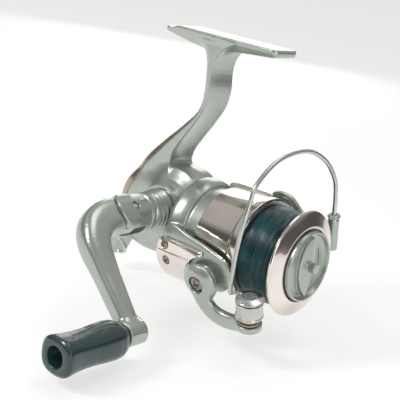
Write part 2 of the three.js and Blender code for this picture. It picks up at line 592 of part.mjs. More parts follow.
function makeRotor() {
  const drum = turned([
    [ROTOR.back, 17.9], [ROTOR.back, ROTOR.rim - 0.6], [-47.1, ROTOR.rim], [-44.4, ROTOR.rim - 0.1],
    [-41.8, 18.5], [ROTOR.shoulder, 17.7], [-40.2, ROTOR.drum], [-31.4, ROTOR.drum], [ROTOR.front, 15.8],
    [ROTOR.front, 3.3], [-33.2, 3.3], [-33.2, 15.2], [-39.6, 15.2], [-41.8, 17.3],
    [ROTOR.back, 17.9]], X, ORIGIN, 24);
  const arms = [1, -1].map((side) => loft([
    [-47.2, -7.0, 12.0, 18.3, 19.8], [-45.5, -7.8, 14.0, 18.3, 21.6], [-42.0, -7.8, 14.9, 17.9, ARM.plate],
    [-40.7, -7.8, 14.8, 17.9, ARM.plate], [-40.4, -7.8, 14.8, ARM.inner, ARM.plate],
    [-34.5, -7.8, 13.1, ARM.inner, ARM.plate], [-28, -7.6, 12.0, ARM.inner, ARM.plate],
    [-20.5, -6.2, 10.0, ARM.inner, ARM.plate], [-16.4, -3.0, 8.4, ARM.inner, ARM.plate],
    [-14.8, -0.4, 6.6, ARM.inner, ARM.plate], [-13.9, 1.6, 4.4, ARM.inner, ARM.plate],
  ].map(([x, low, high, r0, r1]) => arcRing(x, low, high, r0, r1, side))));
  const bosses = [1, -1].map((side) => rod(ARM.plate - 0.8, BAIL.inner - GAP, 4.6,
    OUT.clone().multiplyScalar(side), V(ARM.pivotX, 0, 0), 16));
  const holes = [1, -1].map((side) => rod(10, 40, 1.5, OUT.clone().multiplyScalar(side),
    V(ARM.pivotX, 0, 0), 10));
  return cut(join(drum, ...arms, ...bosses), ...holes.map((h) => h.subtract(rod(-60, 0, 19, X, ORIGIN, 16))));
}
add('rotor', makeRotor(), SILVER);
add('rotor_nut', turned([[-30.2, 3.3], [-30.2, 5.8], [-27.6, 5.4], [-27.6, 3.3], [-30.2, 3.3]],
  X, ORIGIN, 6), BRASS);

// Arm covers: thin bright shells over the arms' outer faces, with a hollow towards the arm.
function coverLoft(side, inset, lift) {
  const rear = -48.6 + inset;
  const front = -26.0 - inset;
  const stations = [0, 0.08, 0.25, 0.5, 0.8, 1];
  return loft(stations.map((t) => {
    const x = lerp(rear, front, t);
    const round = Math.sqrt(Math.min(1, 1 - (1 - Math.min(1, t / 0.5)) ** 2 + 0.12));
    const half = (lerp(9.8, 9.0, t) - inset) * round;
    const top = lerp(0.5, 1, Math.min(1, t * 5)) * lift;
    const there = [];
    const back = [];
    for (let i = 0; i <= 6; i += 1) {
      const share = lerp(-1, 1, i / 6);
      const r = ARM.plate + GAP + 0.35 + (top - 0.35) * Math.sqrt(1 - share ** 6 * 0.98);
      const s = COVER_MID + share * half;
      there.push(onArc(x, s, r, side));
      back.unshift(onArc(x, s, ARM.plate + GAP - (inset > 0 ? 0.3 : 0), side));
    }
    return [...there, ...back];
  }));
}
const COVER_MID = 1.0;
const COVER_PINS = [[-43.0, 8.2], [-42.0, 2.2]];
function makeArmCover(side) {
  const shell = cut(coverLoft(side, 0, ARM.skin - ARM.plate - GAP), coverLoft(side, 1.1, 1.4));
  const out = OUT.clone().multiplyScalar(side);
  const bossRoom = rod(20, 30, BAIL.bossR + 0.5, out, V(ARM.pivotX, 0, 0), 18);
  const wells = COVER_PINS.map(([x, s]) => rod(20, 30, 1.0, outAt(s, side), V(x, 0, 0), 8));
  return biggest(cut(shell, bossRoom, ...wells));
}
function outAt(s, side) {
  return onArc(0, s, ARM.skin, side).normalize();
}
[['near', 1], ['far', -1]].forEach(([name, side]) => {
  add(`arm_cover_${name}`, makeArmCover(side), CHAMPAGNE);
  COVER_PINS.forEach(([x, s], i) => {
    const out = outAt(s, side);
    add(`arm_cover_screw_${name}_${i + 1}`,
      screw(V(x, 0, 0).addScaledVector(out, ARM.skin + 0.25), out, 1.3, 0.65, 1.3, 0.7, false), STEEL);
  });
});

// Under the near cover: the spring that snaps the bail over and the lever that trips it.
function makeBailSpring() {
  const [turns, length, r] = [6, 8.4, 0.55];
  class Helix extends THREE.Curve {
    getPoint(t) {
      const a = t * turns * 2 * Math.PI;
      return onArc(-42.0 + length * t, 5.4 + r * Math.cos(a), 23.1 + r * Math.sin(a));
    }
  }
  return sweep(new Helix(), turns * 6, 3, () => [0.14, 0.14], X);
}
const makeTripLever = () => plate([[-42.8, -3.4], [-34.2, -3.4], [-34.2, -2.1], [-42.8, -2.1]], 0.6,
  onArm(0, 0, 22.75), X, TANGENT);
add('bail_spring', makeBailSpring(), STEEL);
add('bail_trip_lever', makeTripLever(), STEEL);

// ---------------------------------------------------------------- bail: two arms, wire and line roller
// Beam points: x, s along the tangent, r outward.
const NEAR_BEAM = [[-25.2, 0, 26.7], [-23.8, -6.2, 26.7], [-20.6, -10.8, 26.6], [-16.2, -12.4, 26.4],
  [-10.6, -12.0, 26.2], [-5.0, -10.2, 26.0]];
const FAR_BEAM = [[-25.2, 0, 26.3], [-19.5, -1.6, 26.0], [-12.0, -3.4, 24.4], [-6.2, -4.6, 23.4],
  [-2.8, -5.0, 22.9]];
// The roller and the wire's holder lean the same way, nearly upright at rest.
const LEANING = V(0.05, -0.26, 0.96).normalize();
const ROLLER_AT = onArm(-3.2, -1.9, BAIL.rollerR);
const SOCKET_AT = onArm(-2.2, -2.2, 23.3, -1);

function bailBeam(points, side, thick) {
  const curve = new THREE.CatmullRomCurve3(points.map(([x, s, r]) => onArm(x, s, r, side)));
  const out = OUT.clone().multiplyScalar(side);
  return sweep(curve, 7, 10, (t) => [thick, lerp(3.0, 2.6, t)], out, 3);
}
function bailBoss(side) {
  const out = OUT.clone().multiplyScalar(side);
  return turned([[BAIL.inner, 0], [BAIL.inner, BAIL.bossR], [BAIL.inner + 1.4, BAIL.bossR],
    [BAIL.outer, BAIL.bossR - 1.5], [BAIL.outer, 0]], out, V(ARM.pivotX, 0, 0), 18);
}
function pivotHole(side) {
  const out = OUT.clone().multiplyScalar(side);
  return join(rod(15, 40, 1.65, out, V(ARM.pivotX, 0, 0), 10), rod(BAIL.outer - 1.2, 40, 3.1, out,
    V(ARM.pivotX, 0, 0), 12));
}
function makeNearArm() {
  const pad = rod(-8.6, -6.1, 4.4, LEANING, ROLLER_AT, 14);
  const body = join(bailBoss(1), bailBeam(NEAR_BEAM, 1, 1.8), pad);
  return cut(body, pivotHole(1), rod(-12, -3, 1.15, LEANING, ROLLER_AT, 10),
    rod(-16, -8.7, 2.7, LEANING, ROLLER_AT, 12), rod(-6.1, 8, 5.6, LEANING, ROLLER_AT, 14));
}
function makeFarArm() {
  const socket = rod(-7.0, 7.4, 2.1, LEANING, SOCKET_AT, 12);
  const body = join(bailBoss(-1), bailBeam(FAR_BEAM, -1, 1.25), socket);
  return cut(body, pivotHole(-1), rod(1.5, 9, BAIL.wireR + GAP, LEANING, SOCKET_AT, 10));
}
// It bulges outward beside the spool, so it swings clear over the lip when the bail opens.
const WIRE = [[-9.7, -25.9, -8.3], [-8.4, -27.8, 2.6], [-7.0, -29.1, 10.6], [-6.6, -28.3, 17.9],
  [-6.6, -26.6, 24.2], [-6.7, -23.9, 29.9], [-6.7, -13.3, 36.9], [-5.6, 0.7, 39.1], [-4.0, 11.2, 35.3],
  [-2.6, 17.5, 28.2], [-2.0, 19.3, 21.0]];
function makeWire() {
  const into = SOCKET_AT.clone().addScaledVector(LEANING, 7.0);
  const end = SOCKET_AT.clone().addScaledVector(LEANING, 2.0);
  const cap = ROLLER_AT.clone().addScaledVector(LEANING, 3.75).addScaledVector(X, -3.2);
  const points = WIRE.map(([x, y, z]) => V(x, y, z));
  const curve = new THREE.CatmullRomCurve3([cap, cap.clone().add(V(-3.4, -0.2, -0.2)), ...points, into, end],
    false, 'centripetal');
  const wire = sweep(curve, 28, 6, () => [BAIL.wireR, BAIL.wireR], V(0.4, -0.2, 0.2));
  const cone = turned([[2.9, 0], [2.9, BAIL.drumR], [3.5, BAIL.drumR], [4.3, 2.6], [4.3, 0]],
    LEANING, ROLLER_AT, 16);
  return join(wire, cone);
}
add('bail_arm', makeNearArm(), SILVER);
add('wire_holder_arm', makeFarArm(), SILVER);
add('bail_wire', makeWire(), STEEL);
add('line_roller', turned([[-3.4, 1.9], [-3.4, BAIL.drumR], [-2.8, BAIL.drumR], [-2.2, BAIL.drumR - 0.4],
  [1.6, BAIL.drumR - 0.2], [2.5, BAIL.drumR], [2.5, 1.9], [-3.4, 1.9]], LEANING, ROLLER_AT, 16), STEEL);
add('roller_bushing', turned([[-5.8, 1.25], [-5.8, 3.7], [-5.0, 3.7], [-5.0, 3.1], [-4.5, 3.1], [-4.5, 3.7],
  [-3.8, 3.7], [-3.8, 1.6], [2.5, 1.6], [2.5, 1.25], [-5.8, 1.25]], LEANING, ROLLER_AT, 12), BRASS);
add('roller_screw', turned([[-9.8, 0], [-9.8, 2.0], [-9.0, 2.4], [-9.0, 0.85], [2.5, 0.85], [2.5, 0]],
  LEANING, ROLLER_AT, 12), STEEL);
[['near', 1], ['far', -1]].forEach(([name, side]) => {
  const out = OUT.clone().multiplyScalar(side);
  add(`bail_pivot_screw_${name}`, screw(V(ARM.pivotX, 0, 0).addScaledVector(out, BAIL.outer - 0.9), out,
    5.0, 1.2, 2.8, 1.0), STEEL);
});

// ---------------------------------------------------------------- spool
function makeSpool() {
  const { flangeX, flangeR, core, lipBack, ringR } = SPOOL;
  return turned([
    [flangeX - 1.6, 2.4], [flangeX - 1.6, SPOOL.skirtR - SPOOL.wall - GAP - 0.3],
    [flangeX - 0.6, flangeR - 0.6], [flangeX, flangeR - 0.6], [flangeX, core], [lipBack - 0.4, core],
    [lipBack - 0.4, ringR + 1.8], [lipBack + 0.4, ringR + 1.8], [lipBack + 0.4, ringR - 0.5],
    [lipBack, ringR - 0.5], [lipBack, core - 0.8], [-8.4, core - 0.8], [-8.4, 2.4], [flangeX - 1.6, 2.4]], X, ORIGIN, 24);
}
function makeSkirt() {
  const { skirtBack, skirtR, flangeX, flangeR, wall } = SPOOL;
  return turned([
    [skirtBack, skirtR - wall], [skirtBack, skirtR], [flangeX - 4, skirtR + 0.35], [flangeX - 3.2, flangeR],
    [flangeX - 0.4, flangeR], [flangeX - 0.4, flangeR - 0.3], [flangeX - 1.0, flangeR - 0.35],
    [flangeX - 2.0, skirtR - wall], [skirtBack, skirtR - wall]], X, ORIGIN, 28);
}
// A clip button for the line's end: its stem passes through the skirt, away from the handle.
const CLIP = { x: -26, out: V(0, 0.6, -0.8) };
const makeClip = () => join(rod(SPOOL.skirtR - 1.3, 19.2, 0.8, CLIP.out, V(CLIP.x, 0, 0), 10),
  rod(SPOOL.skirtR + 0.4, 19.5, 1.9, CLIP.out, V(CLIP.x, 0, 0), 14));
const clipHole = () => rod(10, 25, 1.1, CLIP.out, V(CLIP.x, 0, 0), 10);
// A toothed ring under the spool that a clicker rides on when the drag slips.
const makeClickGear = () => spur(X, V(SPOOL.flangeX - 3.1, 0, 0), 0, 1.2, 6.4, 7.2, 16, 2.4);
function makeLip() {
  const { lipBack, lipR, ringR, ringX } = SPOOL;
  return turned([
    [lipBack, lipR - 2.2], [lipBack + 0.8, lipR - 0.5], [-0.4, lipR], [0.2, lipR - 0.3], [ringX - 0.5, 15.4],
    [ringX, ringR + 0.9], [ringX, ringR], [lipBack + 0.7, ringR], [lipBack + 0.7, ringR + 2.1],
    [lipBack, ringR + 2.1], [lipBack, lipR - 2.2]], X, ORIGIN, 28);
}
function makeLine() {
  const { flangeX, core, lipBack, lineR } = SPOOL;
  return turned([
    [flangeX + GAP, core + GAP], [flangeX + GAP, lineR], [flangeX + 2, lineR + 0.5], [-8, lineR + 0.3],
    [lipBack - 2, lineR - 0.2], [lipBack - 0.9, lineR - 0.8], [lipBack - 0.9, core + GAP],
    [flangeX + GAP, core + GAP]], X, ORIGIN, 20);
}
add('spool_body', makeSpool(), ZINC);
add('spool_skirt', cut(makeSkirt(), clipHole()), CHAMPAGNE);
add('line_clip', makeClip(), BLACK);
add('spool_click_gear', makeClickGear(), ZINC);
add('spool_lip', makeLip(), CHAMPAGNE);
add('fishing_line', makeLine(), LINE);

// ---------------------------------------------------------------- drag
const STACK = [[-8.0, 'felt'], [-6.9, 'steel'], [-5.8, 'felt']];
STACK.forEach(([x, kind], i) => {
  const felt = kind === 'felt';
  add(`drag_washer_${i + 1}`, rod(x, x + 0.8, 8.6, X, ORIGIN, 16, 2.2), felt ? FELT : STEEL);
});
add('drag_retaining_ring', rod(-4.7, -4.1, 9.6, X, ORIGIN, 16, 8.0), STEEL);
add('drag_spring', rod(-3.7, -2.0, 3.6, X, ORIGIN, 16, 2.4), STEEL);

function makeKnobCap() {
  const face = turned([[-1.6, 2.2], [-1.6, 12.2], [2.6, 12.8], [3.8, 12.2], [4.2, 10.6], [2.2, 9.8], [2.2, 0],
    [0.6, 0], [0.6, 2.2], [-1.6, 2.2]], X, ORIGIN, 20);
  const vane = plate([[-11, 0], [-7, 3.2], [0, 5.0], [7, 3.2], [11, 0], [7, -3.2], [0, -5.0],
    [-7, -3.2]], 2.4, V(1.6, 0, 0), Z.clone().negate(), Y);
  const post = rod(2, 6.6, 1.8, X, ORIGIN, 16);
  return join(face, vane, post);
}
add('drag_knob', makeKnobCap(), SILVER);

export default seat;
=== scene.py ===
# The looks of a small spinning reel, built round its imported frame.
# Shapes are worked out in millimetres in the reel's own axes: the spool's axis is y = 0, z = 0,
# x = 0 is the plane of the spool's front rim, +X points along the rod and the handle is on the -Y side.
import json
import math

import bpy
import numpy as np
from mathutils import Matrix, Vector


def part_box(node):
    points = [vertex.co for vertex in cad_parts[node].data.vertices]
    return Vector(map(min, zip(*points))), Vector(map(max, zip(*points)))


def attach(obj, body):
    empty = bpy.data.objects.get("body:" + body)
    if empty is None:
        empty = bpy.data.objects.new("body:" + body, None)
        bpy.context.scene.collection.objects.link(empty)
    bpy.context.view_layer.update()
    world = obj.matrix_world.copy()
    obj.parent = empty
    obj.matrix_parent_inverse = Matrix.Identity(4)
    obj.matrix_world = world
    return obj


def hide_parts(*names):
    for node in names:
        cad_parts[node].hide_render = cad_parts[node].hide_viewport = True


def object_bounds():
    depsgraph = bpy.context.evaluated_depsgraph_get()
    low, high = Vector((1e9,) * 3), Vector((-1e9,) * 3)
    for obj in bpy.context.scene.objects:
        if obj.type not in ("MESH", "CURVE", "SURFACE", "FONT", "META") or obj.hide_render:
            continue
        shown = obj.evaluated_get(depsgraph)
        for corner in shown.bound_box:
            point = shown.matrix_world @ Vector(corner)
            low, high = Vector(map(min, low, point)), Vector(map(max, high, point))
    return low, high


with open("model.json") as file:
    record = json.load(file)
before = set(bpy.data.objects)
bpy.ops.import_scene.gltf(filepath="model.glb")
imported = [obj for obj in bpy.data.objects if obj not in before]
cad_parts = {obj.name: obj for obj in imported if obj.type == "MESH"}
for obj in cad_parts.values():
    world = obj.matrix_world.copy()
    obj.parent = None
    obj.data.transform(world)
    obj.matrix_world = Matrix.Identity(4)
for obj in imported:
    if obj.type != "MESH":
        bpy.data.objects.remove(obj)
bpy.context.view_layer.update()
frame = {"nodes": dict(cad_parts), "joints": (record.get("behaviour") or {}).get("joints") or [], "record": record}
RECORD = frame["record"]
BODY_OF = {n: b for b, nodes in RECORD["behaviour"]["bodies"].items() for n in nodes}
SLOT_OF = {row["node"]: row["material_slot"] for row in RECORD["subparts"]}
JOINT = {j["name"]: j for j in frame["joints"]}

# ---------------------------------------------------------------- the reel's axes in the frame
ROTOR_X = -40.0                                   # where the rotor's joint sits on the spool's axis
SPIN = Vector(JOINT["rotor_turn"]["axis"]).normalized()
TILT = math.atan2(SPIN.z, SPIN.x)
ORIGIN = np.array(JOINT["rotor_turn"]["pos_m"]) * 1000 - ROTOR_X * np.array(SPIN)
TURN = np.array([[math.cos(TILT), 0, -math.sin(TILT)],
                 [0, 1, 0],
                 [math.sin(TILT), 0, math.cos(TILT)]])


def to_frame(points):
    """Reel millimetres to frame metres."""
    return (np.asarray(points, float) @ TURN.T + ORIGIN) * 0.001


def to_seat(points):
    """Reel millimetres to the frame's millimetres."""
    return np.asarray(points, float) @ TURN.T + ORIGIN


# ---------------------------------------------------------------- driving dimensions, as in the CAD
CASE = {"x": -67.0, "z": 0.4, "a": 18.6, "b": 15.8, "power": 2.5, "half": 6.7, "split": 2.5}
AXLE = np.array([-56.5, 0, 5.6])
BOSS_R, BOSS_FACE = 9.5, 13.8
FOLD_END = 7.9
HUB = np.array([-26.0, -54.6, -23.1])
FOLD = np.array([-56.5, -31.5, 5.6])
FOLD_R = 7.3
PIN_HOLE_R = 1.45
AXLE_HOLE_R, SHAFT_HOLE_R = 3.4, 3.9
PHI = math.radians(25)                            # how far below level the rotor's near arm points
OUT = np.array([0, -math.cos(PHI), -math.sin(PHI)])
TANGENT = np.array([0, -math.sin(PHI), math.cos(PHI)])
X, Y, Z = np.eye(3)
PIVOT_X = -25.2
ARM_INNER, ARM_PLATE, ARM_SKIN = 20.4, 22.3, 24.5
LEANING = np.array([0.05, -0.26, 0.96])           # the line roller's axis
LEANING = LEANING / np.linalg.norm(LEANING)


def on_arm(x, s, r, side=1):
    """A point beside a rotor arm: along the spool's axis, along the tangent and outward."""
    return np.array([x, 0, 0]) + side * r * OUT + s * TANGENT


CENTRE = np.zeros(3)
PIVOT_AT = on_arm(PIVOT_X, 0, 0)
ROLLER_AT = on_arm(-3.2, -1.9, 25.7)
SOCKET_AT = on_arm(-2.2, -2.2, 23.3, -1)
DRUM_R = 4.9
WIRE_R = 0.8


# ---------------------------------------------------------------- curves
def smooth_path(points, steps):
    """A Catmull-Rom curve through the points, sampled evenly."""
    p = np.asarray(points, float)
    p = np.vstack([2 * p[0] - p[1], p, 2 * p[-1] - p[-2]])
    out = []
    for i in range(1, len(p) - 2):
        for t in np.linspace(0, 1, 24, endpoint=False):
            a, b, c, d = p[i - 1], p[i], p[i + 1], p[i + 2]
            out.append(0.5 * (2 * b + (c - a) * t + (2 * a - 5 * b + 4 * c - d) * t**2
                              + (3 * b - a - 3 * c + d) * t**3))
    out.append(p[-2])
    return resample(np.array(out), steps)


def resample(path, steps):
    """The same path with its points at even distances."""
    run = np.concatenate([[0], np.cumsum(np.linalg.norm(np.diff(path, axis=0), axis=1))])
    at = np.linspace(0, run[-1], steps + 1)
    return np.stack([np.interp(at, run, path[:, k]) for k in range(path.shape[1])], 1)


# ---------------------------------------------------------------- pieces from meshes
def piece(name, points, faces, node, material, angle=None):
    """Adds a mesh given in reel millimetres; it stands for its CAD node and rides on that node's body."""
    mesh = bpy.data.meshes.new(name)
    mesh.from_pydata(to_frame(points).tolist(), [], [tuple(int(i) for i in f) for f in faces])
    mesh.validate()
    mesh.update()
    obj = bpy.data.objects.new(name, mesh)
    bpy.context.scene.collection.objects.link(obj)
    mesh.shade_smooth()
    if angle:
        mesh.set_sharp_from_angle(angle=math.radians(angle))
    mesh.materials.append(material)
    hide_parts(node)
    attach(obj, BODY_OF[node])


def basis(axis):
    """Two unit directions across an axis, and the axis itself."""
    axis = np.asarray(axis, float) / np.linalg.norm(axis)
    hint = X if abs(axis @ Z) > 0.9 else Z
    u = np.cross(hint, axis)
    u /= np.linalg.norm(u)
    return u, np.cross(axis, u), axis


LATHE_CREASE, TUBE_CREASE, LINE_CREASE = 40, 50, 70     # degrees; edges sharper than this stay sharp
SAME_PLACE = 1e-5


def lathe_mesh(profile, axis, at, sides, radius):
    """Turns a closed loop of [along, radius] points about a line; corners get small arcs."""
    loop = close_rounded(profile, radius)
    u, v, w = basis(axis)
    turn = np.linspace(0, 2 * math.pi, sides, endpoint=False)
    ring = np.cos(turn)[:, None] * u + np.sin(turn)[:, None] * v
    points = [np.asarray(at) + along * w + r * ring for along, r in loop]
    count = len(loop)
    faces = []
    for i in range(count):
        for k in range(sides):
            a, b = i * sides + k, i * sides + (k + 1) % sides
            c, d = ((i + 1) % count) * sides + (k + 1) % sides, ((i + 1) % count) * sides + k
            faces.append((a, d, c, b))
    return weld(np.vstack(points), faces)


def lathe(name, profile, axis, at, node, material, sides, radius):
    points, faces = lathe_mesh(profile, axis, at, sides, radius)
    piece(name, points, faces, node, material, LATHE_CREASE)


def close_rounded(profile, radius):
    """Rounds a profile's corners and leaves points on the axis sharp."""
    p = [np.array(q, float) for q in profile]
    if np.allclose(p[0], p[-1]):
        p = p[:-1]
    out = []
    for i, b in enumerate(p):
        a, c = p[i - 1], p[(i + 1) % len(p)]
        if b[1] < 1e-6:
            out.append(b)
            continue
        u, v = a - b, c - b
        lu, lv = np.linalg.norm(u), np.linalg.norm(v)
        cut = min(radius, 0.42 * lu, 0.42 * lv)
        start, end = b + u / lu * cut, b + v / lv * cut
        for t in np.linspace(0, 1, 4):
            out.append((1 - t) ** 2 * start + 2 * t * (1 - t) * b + t**2 * end)
    return out


def weld(points, faces):
    """Merges points at the same place and drops faces that collapse."""
    key = np.round(points / SAME_PLACE).astype(np.int64)
    _, first, inverse = np.unique(key, axis=0, return_index=True, return_inverse=True)
    inverse = inverse.reshape(-1)
    kept = []
    for face in faces:
        mapped = []
        for i in face:
            j = inverse[i]
            if not mapped or mapped[-1] != j:
                mapped.append(j)
        if len(mapped) > 1 and mapped[0] == mapped[-1]:
            mapped.pop()
        if len(set(mapped)) > 2:
            kept.append(tuple(mapped))
    return points[first], kept


def tube(path, r, sides, side):
    """Points and faces of a closed round tube along a path; `side` is a direction across it."""
    along = np.gradient(path, axis=0)
    along /= np.linalg.norm(along, axis=1)[:, None]
    angle = np.linspace(0, 2 * math.pi, sides, endpoint=False)
    c, s = r * np.cos(angle), r * np.sin(angle)
    points, faces = [], []
    for at, d in zip(path, along):
        wide = side - d * (side @ d)
        wide /= np.linalg.norm(wide)
        tall = np.cross(d, wide)
        points.append(at + np.outer(c, wide) + np.outer(s, tall))
    rows = len(path)
    for k in range(rows - 1):
        for i in range(sides):
            a, b = k * sides + i, k * sides + (i + 1) % sides
            faces.append((a, b, b + sides, a + sides))
    faces.append(tuple(range(sides))[::-1])
    faces.append(tuple(range((rows - 1) * sides, rows * sides)))
    return np.vstack(points), faces


# ---------------------------------------------------------------- solid shapes as distance fields
def smooth_min(a, b, k):
    """Joins two fields with a fillet of about k."""
    h = np.clip(0.5 + 0.5 * (b - a) / k, 0, 1)
    return b + (a - b) * h - k * h * (1 - h)


def smooth_max(a, b, k):
    """What two fields share, with its edge rounded by about k."""
    return -smooth_min(-a, -b, k)


def outline(q, polygon):
    """Signed distance from 2D points to a closed polygon, negative inside."""
    poly = np.asarray(polygon, float)
    best = np.full(len(q), np.inf)
    inside = np.zeros(len(q), bool)
    for a, b in zip(poly, np.roll(poly, -1, axis=0)):
        e = b - a
        w = q - a
        t = np.clip((w @ e) / max(e @ e, 1e-12), 0, 1)
        best = np.minimum(best, ((w - t[:, None] * e) ** 2).sum(1))
        crosses = (a[1] > q[:, 1]) != (b[1] > q[:, 1])
        slope = (b[0] - a[0]) / (b[1] - a[1]) if b[1] != a[1] else 0.0
        inside ^= crosses & (q[:, 0] < a[0] + slope * (q[:, 1] - a[1]))
    return np.sqrt(best) * np.where(inside, -1, 1)


def cylinder(p, at, axis, low, high, r, edge=0.3):
    """A cylinder with slightly rounded rims, from low to high along its axis."""
    w = np.asarray(axis, float) / np.linalg.norm(axis)
    d = p - at
    along = d @ w
    away = np.linalg.norm(d - along[:, None] * w, axis=1)
    return smooth_max(away - r, np.abs(along - (low + high) / 2) - (high - low) / 2, edge)


def turned(p, at, axis, profile):
    """A lathe shape from a closed [along, radius] outline."""
    w = np.asarray(axis, float) / np.linalg.norm(axis)
    d = p - at
    along = d @ w
    away = np.linalg.norm(d - along[:, None] * w, axis=1)
    return outline(np.stack([along, away], 1), profile)


def block(p, at, axes, half, edge):
    """A box with rounded edges; `axes` are its three unit directions."""
    d = np.abs(np.stack([(p - at) @ a for a in axes], 1)) - np.asarray(half) + edge
    return np.linalg.norm(np.maximum(d, 0), axis=1) + np.minimum(d.max(1), 0) - edge


def swept(p, path, size, side, power):
    """A tube field along a path; `size(t)` gives the section's half sizes."""
    best = np.full(len(p), np.inf)
    where = np.zeros(len(p))
    for k, (a, b) in enumerate(zip(path, path[1:])):
        e = b - a
        t = np.clip(((p - a) @ e) / (e @ e), 0, 1)
        d = ((p - a - t[:, None] * e) ** 2).sum(1)
        closer = d < best
        best = np.where(closer, d, best)
        where = np.where(closer, k + t, where)
    k = np.minimum(where.astype(int), len(path) - 2)
    t = where - k
    centre = path[k] + t[:, None] * (path[k + 1] - path[k])
    tangents = np.gradient(path, axis=0)
    tangents /= np.linalg.norm(tangents, axis=1)[:, None]
    along = tangents[k] + t[:, None] * (tangents[k + 1] - tangents[k])
    along /= np.linalg.norm(along, axis=1)[:, None]
    wide = side - along * (along @ side)[:, None]
    wide /= np.linalg.norm(wide, axis=1)[:, None]
    tall = np.cross(along, wide)
    w, h = size(where / (len(path) - 1))
    d = p - centre
    u, v, l = (d * wide).sum(1), (d * tall).sum(1), (d * along).sum(1)
    ratio = (np.abs(u / w) ** power + np.abs(v / h) ** power) ** (1 / power)
    return np.maximum((ratio - 1) * np.minimum(w, h), np.abs(l) - 0.5 * np.minimum(w, h))


def skin(field, low, high, cell):
    """A quad mesh of the field's zero surface (surface nets), pulled onto the surface."""
    low, high = np.asarray(low, float), np.asarray(high, float)
    coarse = 4
    n = (np.ceil((high - low) / cell / coarse).astype(int) + 1) * coarse
    axes = [low[i] + cell * np.arange(n[i] + 1) for i in range(3)]
    rough = np.stack(np.meshgrid(*[a[::coarse] for a in axes], indexing="ij"), -1)
    rough_d = chunked(field, rough.reshape(-1, 3)).reshape(rough.shape[:3])
    nearest = [np.minimum((np.arange(k + 1) + coarse // 2) // coarse, k // coarse) for k in n]
    d = rough_d[np.ix_(*nearest)].astype(float)
    near = np.argwhere(np.abs(d) < cell * coarse * 2.0)
    d[tuple(near.T)] = chunked(field, low + near * cell)
    total = np.zeros(tuple(n) + (3,))
    hits = np.zeros(tuple(n), int)
    for axis in range(3):
        for b in (0, 1):
            for c in (0, 1):
                offset = np.zeros(3, int)
                offset[(axis + 1) % 3], offset[(axis + 2) % 3] = b, c
                step = offset.copy()
                step[axis] += 1
                d0 = d[tuple(slice(o, o + k) for o, k in zip(offset, n))]
                d1 = d[tuple(slice(o, o + k) for o, k in zip(step, n))]
                cross = (d0 < 0) != (d1 < 0)
                t = np.where(cross, d0 / np.where(cross, d0 - d1, 1), 0)
                total[cross] += offset
                total[..., axis] += t
                hits += cross
    used = np.argwhere(hits > 0)
    index = -np.ones(tuple(n), int)
    index[tuple(used.T)] = np.arange(len(used))
    points = low + (used + total[tuple(used.T)] / hits[tuple(used.T)][:, None]) * cell
    faces = []
    for axis in range(3):
        p, q = (axis + 1) % 3, (axis + 2) % 3
        a = np.take(d, range(0, n[axis]), axis)
        b = np.take(d, range(1, n[axis] + 1), axis)
        where = np.argwhere((a < 0) != (b < 0))
        where = where[(where[:, p] > 0) & (where[:, q] > 0) & (where[:, p] < n[p]) & (where[:, q] < n[q])]
        eu, ev = np.eye(3, dtype=int)[p], np.eye(3, dtype=int)[q]
        ring = [index[tuple((where - o).T)] for o in (eu + ev, ev, 0 * ev, eu)]
        quads = np.stack(ring, 1)
        flip = b[tuple(where.T)] < 0
        quads[flip] = quads[flip][:, ::-1]
        faces.append(quads)
    faces = np.vstack(faces)
    for _ in range(4):
        points = pull(field, points, cell)
    return points, faces


BATCH = 200000


def chunked(field, points):
    """The field at many points, worked out in batches to save memory."""
    return np.concatenate([field(points[i:i + BATCH]) for i in range(0, len(points), BATCH)])


def pull(field, points, cell):
    """Moves points along the field's slope onto its zero surface."""
    eps = 0.02
    value = chunked(field, points)
    slope = np.stack([chunked(field, points + eps * e) - value for e in np.eye(3)], 1) / eps
    move = value / np.maximum((slope**2).sum(1), 0.05)
    move = np.clip(move, -0.5 * cell, 0.5 * cell)
    return points - 0.7 * move[:, None] * slope


def solid(name, field, low, high, cell, node, material):
    points, faces = skin(field, low, high, cell)
    piece(name, points, faces, node, material)


# ---------------------------------------------------------------- materials
def material(name, color, rough, metal, coat=0.0, coat_rough=0.1, specular=0.5):
    mat = bpy.data.materials.new(name)
    mat.use_nodes = True
    shader = mat.node_tree.nodes["Principled BSDF"]
    shader.inputs["Base Color"].default_value = (*color, 1)
    shader.inputs["Roughness"].default_value = rough
    shader.inputs["Metallic"].default_value = metal
    shader.inputs["Coat Weight"].default_value = coat
    shader.inputs["Coat Roughness"].default_value = coat_rough
    shader.inputs["Specular IOR Level"].default_value = specular
    return mat, mat.node_tree, shader


def noise(tree, scale, detail, stretch=(1, 1, 1)):
    """Noise in the object's own coordinates; scale is in lumps per metre."""
    where = tree.nodes.new("ShaderNodeTexCoord")
    mapping = tree.nodes.new("ShaderNodeMapping")
    mapping.inputs["Scale"].default_value = stretch
    texture = tree.nodes.new("ShaderNodeTexNoise")
    texture.inputs["Scale"].default_value = scale
    texture.inputs["Detail"].default_value = detail
    tree.links.new(where.outputs["Object"], mapping.inputs["Vector"])
    tree.links.new(mapping.outputs["Vector"], texture.inputs["Vector"])
    return texture.outputs["Fac"]


def spread(tree, value, low, high):
    """Maps the middle of a noise's range onto low to high."""
    node = tree.nodes.new("ShaderNodeMapRange")
    node.inputs["From Min"].default_value = 0.3
    node.inputs["From Max"].default_value = 0.7
    node.inputs["To Min"].default_value = low
    node.inputs["To Max"].default_value = high
    tree.links.new(value, node.inputs["Value"])
    return node.outputs["Result"]


def tint(tree, value, dark, light):
    """Runs from one colour to the other over the middle of a noise's range."""
    node = tree.nodes.new("ShaderNodeValToRGB")
    node.color_ramp.elements[0].position = 0.35
    node.color_ramp.elements[1].position = 0.65
    node.color_ramp.elements[0].color = (*dark, 1)
    node.color_ramp.elements[1].color = (*light, 1)
    tree.links.new(value, node.inputs["Fac"])
    return node.outputs["Color"]


